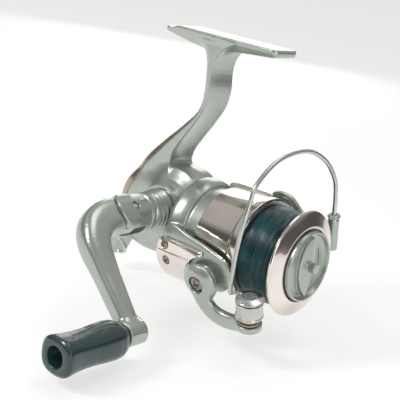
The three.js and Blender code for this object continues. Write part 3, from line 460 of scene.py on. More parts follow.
def bump(tree, shader, value, height, strength):
    """Roughens the surface by a noise; height is in metres."""
    node = tree.nodes.new("ShaderNodeBump")
    node.inputs["Distance"].default_value = height
    node.inputs["Strength"].default_value = strength
    tree.links.new(value, node.inputs["Height"])
    tree.links.new(node.outputs["Normal"], shader.inputs["Normal"])


def silver_paint():
    """Pale, slightly green silver paint with fine metal flakes."""
    mat, tree, shader = material("silver_paint", (0.43, 0.46, 0.42), 0.27, 0.75, coat=0.35, coat_rough=0.12)
    flake = noise(tree, 9000, 2)
    cloud = noise(tree, 60, 3)
    tree.links.new(tint(tree, flake, (0.38, 0.42, 0.38), (0.48, 0.525, 0.475)), shader.inputs["Base Color"])
    tree.links.new(spread(tree, cloud, 0.26, 0.32), shader.inputs["Roughness"])
    bump(tree, shader, flake, 0.000006, 0.35)
    return mat


def plated(name, dark, light, rough_low, rough_high):
    """Bright plating with faint polishing lines."""
    mat, tree, shader = material(name, light, rough_low, 1.0)
    lines = noise(tree, 700, 2, (1, 1, 8))
    tree.links.new(tint(tree, noise(tree, 45, 4), dark, light), shader.inputs["Base Color"])
    tree.links.new(spread(tree, lines, rough_low, rough_high), shader.inputs["Roughness"])
    bump(tree, shader, noise(tree, 120, 2), 0.00002, 0.25)
    return mat


def moulded(name, color, rough, grain, depth, coat=0.0):
    """Moulded plastic or felt with a fine grain."""
    mat, tree, shader = material(name, color, rough, 0.0, coat=coat, coat_rough=0.08)
    speck = noise(tree, grain, 4)
    dark = tuple(0.86 * c for c in color)
    tree.links.new(tint(tree, noise(tree, 90, 3), dark, color), shader.inputs["Base Color"])
    tree.links.new(spread(tree, speck, rough * 0.85, rough * 1.2), shader.inputs["Roughness"])
    bump(tree, shader, speck, depth, 0.5)
    return mat


def nylon_line():
    """Dark teal line, streaked along its strands."""
    mat, tree, shader = material("line_nylon", (0.002, 0.03, 0.035), 0.34, 0.0,
                                 coat=0.18, coat_rough=0.2, specular=0.35)
    strands = noise(tree, 900, 3, (1, 0.12, 0.12))
    color = tint(tree, strands, (0.0008, 0.010, 0.014), (0.003, 0.060, 0.066))
    tree.links.new(color, shader.inputs["Base Color"])
    bump(tree, shader, strands, 0.00006, 0.6)
    return mat


SILVER = silver_paint()
CHROME = plated("champagne_chrome", (0.70, 0.63, 0.57), (0.86, 0.79, 0.73), 0.05, 0.12)
STEEL = plated("polished_steel", (0.52, 0.53, 0.53), (0.68, 0.69, 0.69), 0.12, 0.24)
SATIN = plated("satin_steel", (0.50, 0.51, 0.49), (0.64, 0.65, 0.62), 0.24, 0.34)
BRASS = plated("brass", (0.45, 0.33, 0.15), (0.62, 0.47, 0.22), 0.18, 0.3)
ZINC = plated("zinc", (0.42, 0.43, 0.43), (0.55, 0.56, 0.56), 0.3, 0.45)
BRONZE = plated("bronze_strip", (0.30, 0.22, 0.17), (0.46, 0.36, 0.29), 0.14, 0.26)
DARK_STEEL = plated("blackened_steel", (0.20, 0.185, 0.16), (0.34, 0.32, 0.28), 0.16, 0.28)
BLACK = moulded("black_plastic", (0.012, 0.013, 0.014), 0.45, 2500, 0.00002)
GRIP = moulded("grip_plastic", (0.018, 0.046, 0.048), 0.24, 1800, 0.00002, coat=0.5)
FELT = moulded("felt", (0.5, 0.46, 0.38), 0.95, 3000, 0.0002)
LINE = nylon_line()

# ---------------------------------------------------------------- foot, stem and gear case
# The stem's front and rear edges in the plane y = 0, from the foot down to the gear case.
STEM_FRONT = [(-38.0, 70.4), (-41.0, 68.6), (-43.6, 66.5), (-45.7, 63.0), (-46.3, 58.5), (-45.9, 52.0),
              (-47.2, 45.6), (-51.2, 38.6), (-56.0, 31.6), (-59.6, 25.4), (-60.2, 18.0), (-58.0, 8.0)]
STEM_REAR = [(-59.0, 70.0), (-54.4, 67.0), (-52.1, 63.2), (-51.2, 58.5), (-51.0, 52.0), (-51.6, 44.8),
             (-58.2, 37.8), (-67.0, 29.9), (-75.6, 21.4), (-81.8, 11.2), (-84.6, 0.8), (-84.9, -6.0)]
STEM_HALF = 6.6
SCOOP = 1.0                                       # how deep the stem's front face is hollowed
BELOW, ABOVE, BEHIND, AHEAD = -60, 120, -180, 120    # places well off the reel
FRONT_LINE = smooth_path(STEM_FRONT, 44)
REAR_LINE = smooth_path(STEM_REAR, 44)


def beside(q, line, far_x):
    """Signed distance to the whole side of a line that reaches to far_x."""
    corners = [(line[-1][0], BELOW), (far_x, BELOW), (far_x, ABOVE), (line[0][0], ABOVE)]
    return outline(q, np.vstack([line, corners]))


def stem_field(p):
    q = p[:, [0, 2]]
    behind_front = beside(q, FRONT_LINE, BEHIND)
    ahead_rear = beside(q, REAR_LINE, AHEAD)
    depth = np.maximum(-behind_front - ahead_rear, 2.0)
    share = np.clip(-behind_front / depth, -0.5, 1.5)
    flat = np.interp(p[:, 2], [20, 30, 40, 52, 62, 68], [0.62, 0.5, 0.34, 0.12, 0.2, 0.55])
    t = np.maximum((share - flat) / (1 - flat), 0)
    side = STEM_HALF * (np.sqrt((p[:, 1] / STEM_HALF) ** 2 + t**2) - 1)
    scoop = SCOOP * np.interp(p[:, 2], [8, 20, 60, 67], [0.2, 1, 1, 0.1])
    face = behind_front + scoop * np.clip(1 - (p[:, 1] / STEM_HALF) ** 2, 0, 1)
    ends = np.maximum(p[:, 2] - 69.8, -4 - p[:, 2])
    return np.maximum(smooth_max(smooth_max(face, side, 0.5), ahead_rear, 0.6), ends)


FOOT_HALF, FOOT_WIDE = 26.7, 7.1
FOOT_SIDE = [(-26.6, -1.2), (-26.6, -2.5), (-24.0, -3.2), (-17, -4.9), (-8, -6.4), (-2, -6.3), (4, -4.9),
             (14, -3.9), (24.0, -3.1), (26.2, -2.3), (26.7, -1.4), (26.6, -0.7), (25.8, 0),
             (-18.5, 0), (-20.0, -0.5), (-21.5, -1.2)]


def foot_field(p):
    q = to_seat(p)
    side = outline(q[:, [0, 2]], FOOT_SIDE)
    y = np.abs(q[:, 1])
    x = q[:, 0]
    corner = np.where(x > 0, 3.4, 5.6)
    d = np.stack([np.abs(x) - FOOT_HALF + corner, y - FOOT_WIDE + corner], 1)
    plan = np.linalg.norm(np.maximum(d, 0), axis=1) + np.minimum(d.max(1), 0) - corner
    under = y - FOOT_WIDE - 0.9 * np.clip(q[:, 2] + 1.0, -9, 0)
    return smooth_max(side, smooth_max(plan, under, 0.5), 0.5)


def squircle(p, cx, cz, a, b, power):
    """About the distance to an outline between an ellipse and a box, seen from the side."""
    u, v = np.abs(p[:, 0] - cx) / a, np.abs(p[:, 2] - cz) / b
    return ((u**power + v**power) ** (1 / power) - 1) * min(a, b)


def case_edge(p):
    return squircle(p, CASE["x"], CASE["z"], CASE["a"], CASE["b"], CASE["power"])


BOSS = [(0, 0), (0, 16), (6.0, 15.2), (7.6, 13.2), (9.4, 11.2), (11.4, 10.0), (13.1, BOSS_R + 0.1),
        (13.1, BOSS_R - 0.25), (13.35, BOSS_R - 0.25), (13.35, BOSS_R),
        (BOSS_FACE, BOSS_R - 0.1), (BOSS_FACE, 0)]
LUG_A, LUG_B = np.array([-80.5, 0, -3.0]), np.array([-90.0, 0, -22.0])


def case_field(p):
    """The gear case with its two axle bosses, the rear lug and the collar behind the rotor."""
    edge = case_edge(p)
    thin = 2.6 * np.clip(1 + edge / 6.5, 0, 1.2) ** 2
    slab = smooth_max(edge, np.abs(p[:, 1]) - CASE["half"] + thin, 1.6)
    mirrored = p * [1, -1, 1]
    boss = np.minimum(turned(p, AXLE, -Y, BOSS), turned(mirrored, AXLE, -Y, BOSS))
    shell = smooth_min(slab, boss, 3.5)
    lug_axis = (LUG_B - LUG_A) / np.linalg.norm(LUG_B - LUG_A)
    across = np.cross(Y, lug_axis)
    lug = block(p, (LUG_A + LUG_B) / 2, (lug_axis, Y, across), (10.6, 4.2, 3.6), 1.1)
    shell = smooth_min(shell, lug, 2.0)
    collar = cylinder(p, CENTRE, X, -56, -41.5, 13.9, 0.5)
    return smooth_min(shell, collar, 1.0)


def case_and_stem(p):
    return smooth_min(case_field(p), stem_field(p), 2.6)


COVER_GAP = 0.15                                  # half the seam round the side cover
GROOVE_GAP, STRIP_GAP = 0.12, 0.1                 # the two halves of the seam round the rear cover


def cover_zone(p, grow):
    """Where the side cover lies, on the far side of the case."""
    edge = squircle(p, CASE["x"] + 0.6, CASE["z"], CASE["a"] - 1.0 + grow, CASE["b"] - 0.9 + grow,
                    CASE["power"])
    return np.maximum(edge, CASE["split"] + COVER_GAP - grow - p[:, 1])


def bores(p):
    """The holes for the handle's axle and for the spool's shaft."""
    axle = cylinder(p, AXLE, Y, -20, 20, AXLE_HOLE_R)
    shaft = cylinder(p, CENTRE, X, -60, -40, SHAFT_HOLE_R)
    return np.minimum(axle, shaft)


def strip_zone(p, gap):
    """The groove that the rear cover lies in."""
    q = p[:, [0, 2]]
    line = REAR_LINE[(REAR_LINE[:, 1] < 45.5) & (REAR_LINE[:, 1] > 0.2)]
    a, b = line[0], line[-1]
    best = np.full(len(p), np.inf)
    for s, e in zip(line, line[1:]):
        d = e - s
        t = np.clip(((q - s) @ d) / (d @ d), 0, 1)
        best = np.minimum(best, np.linalg.norm(q - s - t[:, None] * d, axis=1))
    ends = np.maximum((q - a) @ np.array([0.55, 0.83]), -(q[:, 1] - b[1]))
    wide = np.interp(q[:, 1], [0, 10, 25, 31, 38, 46], [2.6, 4.2, 3.4, 2.6, 1.8, 1.2])
    return np.maximum(best - wide - gap, ends - gap)


CASE_WALL, ROOM_HALF = 2.2, 4.7                   # the hollow that the gears and the slider run in


def housing_field(p):
    shell = smooth_min(case_and_stem(p), foot_field(p), 2.2)
    shell = np.maximum(shell, -cover_zone(p, COVER_GAP))
    room = np.maximum(case_edge(p) + CASE_WALL, np.abs(p[:, 1]) - ROOM_HALF)
    shell = np.maximum(shell, -np.minimum(room, bores(p)))
    return np.maximum(shell, -strip_zone(p, GROOVE_GAP))


COVER_SCREWS = [(-80.3, -5.6), (-64.5, -12.0), (-75.6, 10.6)]      # places (x, z)


def side_cover_field(p):
    shell = np.maximum(case_field(p), cover_zone(p, -COVER_GAP))
    shell = np.maximum(shell, 4.4 - p[:, 1])
    wells = [cylinder(p, np.array([x, 0, z]), Y, 5.3, 20, 2.5) for x, z in COVER_SCREWS]
    return np.maximum(np.maximum(shell, -bores(p)), -np.min(wells, axis=0))


def rear_cover_field(p):
    return np.maximum(case_and_stem(p), strip_zone(p, -STRIP_GAP))


CROSS_TURN = math.atan(0.4)                       # how far each screw's cross is turned


def screw(name, at, out, r, h, node, mat, shank=1.5):
    """A pan-head screw with a cross recess; its head sits on `at`."""
    u, v, w = basis(out)
    c, s = math.cos(CROSS_TURN), math.sin(CROSS_TURN)
    u, v = c * u + s * v, c * v - s * u

    def field(p):
        head = turned(p, at, w, [(-shank, 0), (-shank, r * 0.4), (0, r * 0.4), (0, r), (h * 0.45, r),
                                 (h * 0.8, r * 0.85), (h, r * 0.5), (h, 0)])
        deep = at + w * h
        cross = np.minimum(block(p, deep, (u, v, w), (r * 0.62, r * 0.15, h * 0.62), 0.02),
                           block(p, deep, (u, v, w), (r * 0.15, r * 0.62, h * 0.62), 0.02))
        return smooth_max(head, -cross, 0.06)

    reach = r + h + shank
    solid(name, field, at - reach, at + reach, max(0.08, r * 0.055), node, mat)


def rear_screw():
    """The small screw that holds the rear cover, half sunk in it."""
    low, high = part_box("rear_cover_screw")
    middle = (np.array(low) + np.array(high)) * 500 - ORIGIN
    near = np.linalg.norm(REAR_LINE - (middle @ TURN)[[0, 2]], axis=1).argmin()
    run = REAR_LINE[near + 1] - REAR_LINE[near - 1]
    out = np.array([run[1], 0, -run[0]]) / np.linalg.norm(run)
    at = np.array([REAR_LINE[near][0], 0, REAR_LINE[near][1]]) - out * 0.25
    screw("rear_screw", at, out, 1.3, 0.6, "rear_cover_screw", DARK_STEEL, 1.0)


def build_body():
    solid("housing", housing_field, (-97, -15, -29), (-17, 15, 75), 0.42, "body_housing", SILVER)
    solid("side_cover", side_cover_field, (-88, 3, -18), (-44, 16, 19), 0.42, "side_cover", SILVER)
    solid("rear_cover", rear_cover_field, (-88, -7, -2), (-46, 7, 48), 0.3, "rear_cover", BRONZE)
    for i, (x, z) in enumerate(COVER_SCREWS):
        name = f"side_cover_screw_{i + 1}"
        screw(name, np.array([x, 5.6, z]), Y, 2.1, 1.4, name, ZINC)
    rear_screw()


# ---------------------------------------------------------------- handle
CRANK_DIR = (HUB - AXLE) * [1, 0, 1]
CRANK_DIR = CRANK_DIR / np.linalg.norm(CRANK_DIR)
FOLD_AXIS = np.array([-CRANK_DIR[2], 0, CRANK_DIR[0]])


def seat_ring_profile():
    """Four ridges that step down from the boss."""
    points = [[14.1, 3.4], [14.1, 8.0]]
    for i, r in enumerate((8.0, 7.8, 7.6, 7.4)):
        y = 14.1 + 1.7 * i
        points += [[y + 1.05, r], [y + 1.25, r - 0.75], [y + 1.7, r - 0.75]]
    return points + [[21.6, 6.1], [21.6, 3.4]]


def axle_field(p):
    outer = turned(p, AXLE, -Y, [
        (12.8, 0), (12.8, 2.9), (22.0, 2.9), (22.0, FOLD_R - 0.9), (22.5, FOLD_R - 0.1), (24.0, FOLD_R),
        (24.3, FOLD_R - 0.5), (24.9, FOLD_R - 0.5), (25.2, FOLD_R), (39.4, FOLD_R), (39.4, 0)])
    slot = block(p, FOLD - Y * 2.2, (CRANK_DIR, Y, FOLD_AXIS), (20, 7.3, 2.6), 0.3)
    pin = cylinder(p, FOLD, FOLD_AXIS, -12, 12, PIN_HOLE_R)
    fork = block(p, AXLE - Y * 36.0, (CRANK_DIR, Y, FOLD_AXIS), (6.5, 6.0, 6.3), 2.6)
    outer = smooth_min(outer, fork, 0.8)
    end = np.minimum(cylinder(p, FOLD, FOLD_AXIS, -20, 20, FOLD_END), FOLD[1] - p[:, 1])
    return smooth_max(smooth_max(outer, end, 0.5), -np.minimum(slot, pin), 0.25)


def crank_path():
    elbow = np.array([AXLE[0], -51.5, AXLE[2]])
    a = elbow + Y * 12
    b = elbow + (HUB - elbow) * (13 / 42)
    start = np.array([AXLE[0], -35.2, AXLE[2]])
    bend = [(1 - t) ** 3 * a + 3 * (1 - t) ** 2 * t * (a + 0.62 * (elbow - a))
            + 3 * (1 - t) * t**2 * (b + 0.62 * (elbow - b)) + t**3 * b for t in np.linspace(0, 1, 16)]
    return resample(np.vstack([start, bend, HUB]), 40)


CRANK_PATH = crank_path()


def crank_size(t):
    t = np.asarray(t, float)
    wide = np.interp(t, [0, 0.2, 0.62, 1], [6.4, 5.5, 3.5, 3.2])
    tall = np.interp(t, [0, 0.25, 0.6, 1], [6.6, 6.0, 4.6, 3.4])
    return wide, tall


def crank_field(p):
    arm = swept(p, CRANK_PATH, crank_size, FOLD_AXIS, 3.0)
    arm = smooth_max(arm, p[:, 1] + 35.2, 0.4)
    arm = smooth_max(arm, -cylinder(p, FOLD, FOLD_AXIS, -20, 20, FOLD_END + 0.3), 0.4)
    hub = cylinder(p, HUB, Y, -3.9, 3.9, 4.3, 0.45)
    eye = np.minimum(cylinder(p, FOLD, FOLD_AXIS, -20, 20, 4.7), p[:, 1] - FOLD[1])
    neck = block(p, AXLE - Y * 33.6, (CRANK_DIR, Y, FOLD_AXIS), (6.4, 7.5, 2.35), 0.5)
    tongue = np.maximum(neck, eye)
    shape = np.minimum(smooth_min(arm, hub, 1.6), tongue)
    bore = np.minimum(cylinder(p, FOLD, FOLD_AXIS, -12, 12, PIN_HOLE_R), cylinder(p, HUB, Y, -20, 20, 1.7))
    return np.maximum(shape, -bore)


KNOB_NEAR, KNOB_FAR = -60.2, -87.6


KNOB_HALF_X, KNOB_HALF_Z, KNOB_POWER = 6.6, 6.1, 2.6


def knob_field(p):
    """A rounded box in section, waisted along its length, with a bore that widens at its far end."""
    t = (KNOB_NEAR - p[:, 1]) / (KNOB_NEAR - KNOB_FAR)
    grow = np.interp(t, [0, 0.03, 0.1, 0.2, 0.35, 0.5, 0.65, 0.78, 0.88, 0.93, 0.965, 1.0],
                     [0.70, 0.85, 0.965, 1.0, 0.975, 0.93, 0.925, 0.955, 1.01, 1.035, 1.03, 0.9])
    u = np.abs(p[:, 0] - HUB[0]) / (KNOB_HALF_X * grow)
    v = np.abs(p[:, 2] - HUB[2]) / (KNOB_HALF_Z * grow)
    barrel = ((u**KNOB_POWER + v**KNOB_POWER) ** (1 / KNOB_POWER) - 1) * KNOB_HALF_Z
    ends = np.abs(p[:, 1] - (KNOB_NEAR + KNOB_FAR) / 2) - (KNOB_NEAR - KNOB_FAR) / 2
    shape = smooth_max(barrel, ends, 0.9)
    bore = np.minimum(cylinder(p, HUB * [1, 0, 1], Y, -100, -40, 2.0),
                      cylinder(p, HUB * [1, 0, 1], Y, -100, KNOB_FAR + 8, 3.5))
    return smooth_max(shape, -bore, 0.5)


LEVER_R = 0.65


def lever_path():
    x, y, z = -84.8, -5.7, -13.0
    return smooth_path([(x, -2.0, z), (x, y + 1.2, z), (x + 0.5, y, z - 0.3), (x + 4.0, y - 0.1, z - 2.4),
                        (x + 6.4, y - 0.1, z - 4.2), (x + 6.4, y - 0.1, z - 6.2), (x + 4.4, y - 0.1, z - 7.2),
                        (x + 2.4, y - 0.1, z - 6.9)], 70)


def build_handle():
    lathe("seat_ring", seat_ring_profile(), -Y, AXLE, "handle_seat_ring", SILVER, 96, 0.16)
    solid("axle_block", axle_field, (-66, -41, -4), (-47, -12, 15), 0.25, "handle_axle", SILVER)
    lathe("axle_cap", [[12.9, 0], [12.9, 3.1], [14.1, 3.1], [14.1, 5.6], [16.4, 5.2], [17.0, 4.2], [17.0, 0]],
          Y, AXLE, "axle_cap", SILVER, 80, 0.3)
    lathe("fold_pin", [[-6.9, 0], [-6.9, 1.1], [6.9, 1.1], [6.9, 0]], FOLD_AXIS, FOLD,
          "fold_pin", STEEL, 40, 0.25)
    solid("crank", crank_field, (-66, -61, -33), (-18, -26, 15), 0.36, "crank_arm", SILVER)
    lathe("knob_washer", [[4.2, 1.7], [4.2, 3.6], [5.2, 3.6], [5.2, 1.7]], -Y, HUB,
          "knob_washer", BLACK, 64, 0.2)
    solid("knob_grip", knob_field, (-34, -89, -31), (-18, -59, -15), 0.34, "knob", GRIP)
    points, faces = tube(lever_path(), LEVER_R, 14, np.array([0.5, 0.2, 0.85]))
    piece("reverse_lever", points, faces, "anti_reverse_lever", STEEL, TUBE_CREASE)


# ---------------------------------------------------------------- rotor and arm covers
DRUM = [(-47.8, 17.9), (-47.8, 18.5), (-47.2, 19.1), (-46.0, 19.35), (-44.4, 19.15), (-42.8, 18.75),
        (-41.4, 18.2), (-40.6, 17.6), (-40.3, 16.7), (-31.4, 16.7), (-30.5, 15.8), (-30.5, 3.3),
        (-33.2, 3.3), (-33.2, 15.2), (-39.6, 15.2), (-41.8, 17.3)]
# A rotor arm's lower and upper edges, as places along the axis and along the arc.
ARM_LOW = [(-47.2, -7.0), (-45.5, -7.8), (-34.5, -7.8), (-28, -7.6), (-20.5, -6.2), (-16.4, -3.0),
           (-14.8, -0.4), (-13.9, 1.6)]
ARM_HIGH = [(-13.9, 4.4), (-14.8, 6.6), (-16.4, 8.4), (-20.5, 10.0), (-28, 12.0), (-34.5, 13.1),
            (-40.4, 14.8), (-42, 14.9), (-45.5, 14.0), (-47.2, 12.0)]
ARM_SECTION = [(-47.2, 17.6), (-47.2, 19.8), (-45.5, 21.6), (-42, ARM_PLATE), (-13.0, ARM_PLATE),
               (-13.0, ARM_INNER), (-40.4, ARM_INNER), (-40.7, 17.6)]


def arc_place(p, side):
    """Place on one rotor arm: along the axis, along the arc at the plate's radius, and outward."""
    out, tangent = side * (p @ OUT), side * (p @ TANGENT)
    return p[:, 0], np.arctan2(tangent, out) * ARM_PLATE, np.hypot(out, tangent)


ARM_OUTLINE = np.vstack([smooth_path(ARM_LOW, 24), smooth_path(ARM_HIGH, 28)])


def rotor_field(p):
    shape = turned(p, CENTRE, X, DRUM)
    for side in (1, -1):
        x, s, r = arc_place(p, side)
        plan = outline(np.stack([x, s], 1), ARM_OUTLINE)
        section = outline(np.stack([x, r], 1), ARM_SECTION)
        arm = smooth_max(plan, section, 0.5)
        shape = smooth_min(shape, arm, 1.0)
        shape = np.minimum(shape, cylinder(p, PIVOT_AT, side * OUT, 21.5, 24.5, 4.6, 0.2))
    return shape


COVER_MID = 1.0                                   # where along the arc the covers are highest
COVER_CROWN = 0.016
SEAM_AT, SEAM_HALF, SEAM_FLOOR = 5.2, 0.12, 23.9
COVER_PINS = [(-43.0, 8.2), (-42.0, 2.2)]         # the screws' places: along the axis and along the arc
PIN_FLOOR = 23.75                                 # the radius that the screws' recesses reach down to


def pin_place(x, s, side):
    """A cover screw's seat and the direction that it faces."""
    a = s / ARM_SKIN
    out = side * (math.cos(a) * OUT + math.sin(a) * TANGENT)
    return x * X + PIN_FLOOR * out, out


def cover_outline():
    """The cover's plan: square at the rear with round corners, and hollowed round the bail's boss."""
    low = [(-36.0, -9.3), (-44.5, -9.3), (-47.2, -6.4), (-48.4, -1.5)]
    high = [(-48.4, 3.5), (-47.2, 8.0), (-44.5, 10.3), (-36.0, 10.4)]
    front = [(-26.0, 9.6), (-26.0, -9.0)]
    return np.vstack([smooth_path(low, 14), smooth_path(high, 14), front])


COVER_OUTLINE = cover_outline()


def cover_field(side):
    """The field of one arm cover, with its seam, the bail's boss cut round and two screw recesses."""
    def field(p):
        x, s, r = arc_place(p, side)
        plan = outline(np.stack([x, s], 1), COVER_OUTLINE)
        rear = 1.2 * np.clip((-43.0 - x) / 5.4, 0, 1) ** 2
        crown = r - (ARM_SKIN - rear - COVER_CROWN * (s - COVER_MID) ** 2)
        inside = np.where(s < -8.0, ARM_INNER, ARM_PLATE + 0.3) - r
        shape = smooth_max(smooth_max(plan, crown, 1.8), inside, 0.2)
        boss = cylinder(p, PIVOT_AT, side * OUT, 15, 40, 7.7, 0.2)
        shape = smooth_max(shape, -boss, 0.35)
        seam = np.maximum(np.abs(s - SEAM_AT) - SEAM_HALF,
                          SEAM_FLOOR - r - COVER_CROWN * (s - COVER_MID) ** 2)
        shape = np.maximum(shape, -seam)
        for place in COVER_PINS:
            seat, out = pin_place(*place, side)
            shape = smooth_max(shape, -cylinder(p, seat, out, 0, 40 - PIN_FLOOR, 1.75, 0.1), 0.1)
        return shape
    return field


def build_rotor():
    solid("rotor_shell", rotor_field, (-49.5, -26, -26), (-12, 26, 26), 0.42, "rotor", SILVER)
    for name, side in (("near", 1), ("far", -1)):
        centre = side * 23 * OUT
        low = np.array([-50.0, centre[1] - 12, centre[2] - 13])
        high = np.array([-24.5, centre[1] + 12, centre[2] + 13])
        solid(f"cover_{name}", cover_field(side), low, high, 0.3, f"arm_cover_{name}", CHROME)
        for i, place in enumerate(COVER_PINS):
            label = f"cover_screw_{name}_{i + 1}"
            seat, out = pin_place(*place, side)
            screw(label, seat, out, 1.45, 0.85, "arm_" + label, DARK_STEEL, 0.8)


# ---------------------------------------------------------------- bail
NEAR_BEAM = [(-25.2, 0, 26.7), (-23.8, -6.2, 26.7), (-20.6, -10.8, 26.6), (-16.2, -12.4, 26.4),
             (-10.6, -12.0, 26.2), (-5.0, -10.2, 26.0)]
FAR_BEAM = [(-25.2, 0, 26.3), (-19.5, -1.6, 26.0), (-12.0, -3.4, 24.4), (-6.2, -4.6, 23.4),
            (-2.8, -5.0, 22.9)]
BAIL_IN, BAIL_OUT, BAIL_BOSS = 24.8, 27.6, 7.2


def bail_boss(p, side):
    return turned(p, PIVOT_AT, side * OUT, [
        (BAIL_IN, 0), (BAIL_IN, BAIL_BOSS), (BAIL_IN + 1.0, BAIL_BOSS),
        (BAIL_OUT - 0.5, BAIL_BOSS - 1.2), (BAIL_OUT, BAIL_BOSS - 1.9), (BAIL_OUT, 0)])


def pivot_recess(p, side):
    return np.minimum(cylinder(p, PIVOT_AT, side * OUT, 15, 40, 1.65, 0.1),
                      cylinder(p, PIVOT_AT, side * OUT, BAIL_OUT - 1.2, 40, 3.15, 0.1))


def bail_arm_field(p):
    path = smooth_path([on_arm(*q) for q in NEAR_BEAM], 26)
    beam = swept(p, path, lambda t: (2.0 + 0 * t, np.interp(t, [0, 0.5, 1], [3.5, 3.6, 2.8])), OUT, 2.6)
    beam = smooth_max(beam, BAIL_IN - p @ OUT, 0.4)
    pad = cylinder(p, ROLLER_AT, LEANING, -8.6, -6.1, 4.5, 0.7)
    shape = smooth_min(smooth_min(bail_boss(p, 1), beam, 1.2), pad, 1.6)
    room = cylinder(p, ROLLER_AT, LEANING, -6.1, 8, 5.7, 0.2)
    well = cylinder(p, ROLLER_AT, LEANING, -16, -8.7, 2.7, 0.2)
    hole = cylinder(p, ROLLER_AT, LEANING, -12, -3, 1.15, 0.1)
    cuts = np.minimum(np.minimum(room, well), np.minimum(hole, pivot_recess(p, 1)))
    return smooth_max(shape, -cuts, 0.3)


def holder_field(p):
    path = smooth_path([on_arm(*q, side=-1) for q in FAR_BEAM], 20)
    beam = swept(p, path, lambda t: (1.25 + 0 * t, np.interp(t, [0, 1], [3.0, 2.3])), -OUT, 2.6)
    beam = smooth_max(beam, 21.6 + p @ OUT, 0.3)
    socket = cylinder(p, SOCKET_AT, LEANING, -7.0, 7.4, 2.1, 0.35)
    collar = cylinder(p, SOCKET_AT, LEANING, 6.5, 6.8, 2.4, 0.1)
    shape = smooth_min(smooth_min(bail_boss(p, -1), beam, 1.2), np.minimum(socket, collar), 1.0)
    hole = cylinder(p, SOCKET_AT, LEANING, 1.5, 9, WIRE_R + 0.15, 0.1)
    groove = np.maximum(cylinder(p, SOCKET_AT, LEANING, 5.6, 6.1, 4, 0.05),
                        1.85 - np.linalg.norm(np.cross(p - SOCKET_AT, LEANING), axis=1))
    return smooth_max(shape, -np.minimum(np.minimum(hole, groove), pivot_recess(p, -1)), 0.2)


WIRE_POINTS = [(-9.7, -25.9, -8.3), (-8.4, -27.8, 2.6), (-7.0, -29.1, 10.6), (-6.6, -28.3, 17.9),
               (-6.6, -26.6, 24.2), (-6.7, -23.9, 29.9), (-6.7, -13.3, 36.9), (-5.6, 0.7, 39.1),
               (-4.0, 11.2, 35.3), (-2.6, 17.5, 28.2), (-2.0, 19.3, 21.0)]


def wire_path():
    into, end = SOCKET_AT + 7.0 * LEANING, SOCKET_AT + 2.0 * LEANING
    cap = ROLLER_AT + 3.75 * LEANING - 3.2 * X
    return smooth_path([cap, cap + [-3.4, -0.2, -0.2], *WIRE_POINTS, into, end], 220)


def build_bail():
    solid("bail_arm_near", bail_arm_field, (-34, -33, -30), (4, -14, -2), 0.3, "bail_arm", SILVER)
    solid("wire_holder", holder_field, (-34, 14, -8), (3, 32, 22), 0.3, "wire_holder_arm", SILVER)
    points, faces = tube(wire_path(), WIRE_R, 20, np.array([0.4, -0.2, 0.2]))
    cap_profile = [[2.9, 0], [2.9, DRUM_R], [3.5, DRUM_R], [4.3, 2.6], [4.3, 0]]
    cap, cap_faces = lathe_mesh(cap_profile, LEANING, ROLLER_AT, 96, 0.25)
    faces = faces + [tuple(i + len(points) for i in face) for face in cap_faces]
    piece("wire_and_cap", np.vstack([points, cap]), faces, "bail_wire", SATIN, TUBE_CREASE)
    lathe("roller_drum", [[-3.4, 1.9], [-3.4, DRUM_R], [-2.9, DRUM_R], [-2.5, DRUM_R - 0.2],
                          [0.0, DRUM_R - 0.3], [1.9, DRUM_R - 0.2], [2.1, DRUM_R], [2.5, DRUM_R],
                          [2.5, 1.9]], LEANING, ROLLER_AT,
          "line_roller", SATIN, 96, 0.15)
    lathe("roller_washers", [[-5.8, 1.25], [-5.8, 3.9], [-5.1, 3.9], [-5.0, 3.2], [-4.6, 3.2], [-4.5, 3.9],
                             [-3.8, 3.9], [-3.8, 1.6], [2.5, 1.6], [2.5, 1.25]], LEANING, ROLLER_AT,
          "roller_bushing", BRONZE, 80, 0.1)
    screw("roller_screw_fine", ROLLER_AT - 9.0 * LEANING, -LEANING, 2.4, 0.9, "roller_screw", STEEL, 1.5)
    for name, side in (("near", 1), ("far", -1)):
        at = PIVOT_AT + side * OUT * (BAIL_OUT - 0.9)
        screw(f"pivot_screw_{name}", at, side * OUT, 2.8, 1.1, f"bail_pivot_screw_{name}", DARK_STEEL, 1.0)


# ---------------------------------------------------------------- spool
SKIRT = [[-34.4, 17.6], [-34.4, 18.5], [-19.0, 18.85], [-18.4, 19.3], [-15.6, 19.4], [-15.4, 19.1],
         [-16.0, 19.05], [-17.0, 17.6]]
LIP = [[-1.9, 17.1], [-1.1, 18.8], [-0.4, 19.3], [0.2, 19.0], [1.0, 17.1], [1.7, 15.4], [2.2, 14.2],
       [2.2, 13.3], [-1.2, 13.3], [-1.2, 15.4], [-1.9, 15.4]]
LINE_BACK, LINE_FRONT, LINE_CORE = -14.7, -2.8, 10.8
STRAND = 0.42


def strand_height(x, turn):
    """The height of the topmost strand: two crossing families of parallel round strands."""
    best = np.zeros(np.broadcast(x, turn).shape)
    for lean, level in ((3, 1.0), (-4, 0.85), (7, 0.7)):
        across = np.mod(x / STRAND + lean * turn / (2 * math.pi), 1) * 2 - 1
        wave = 0.5 + 0.5 * np.sin(2 * math.pi * x / 5.1 + lean * 1.7 * np.sin(turn) + lean)
        best = np.maximum(best, (level - 0.3 * wave) * np.sqrt(np.maximum(1 - across**2, 0)))
    return best


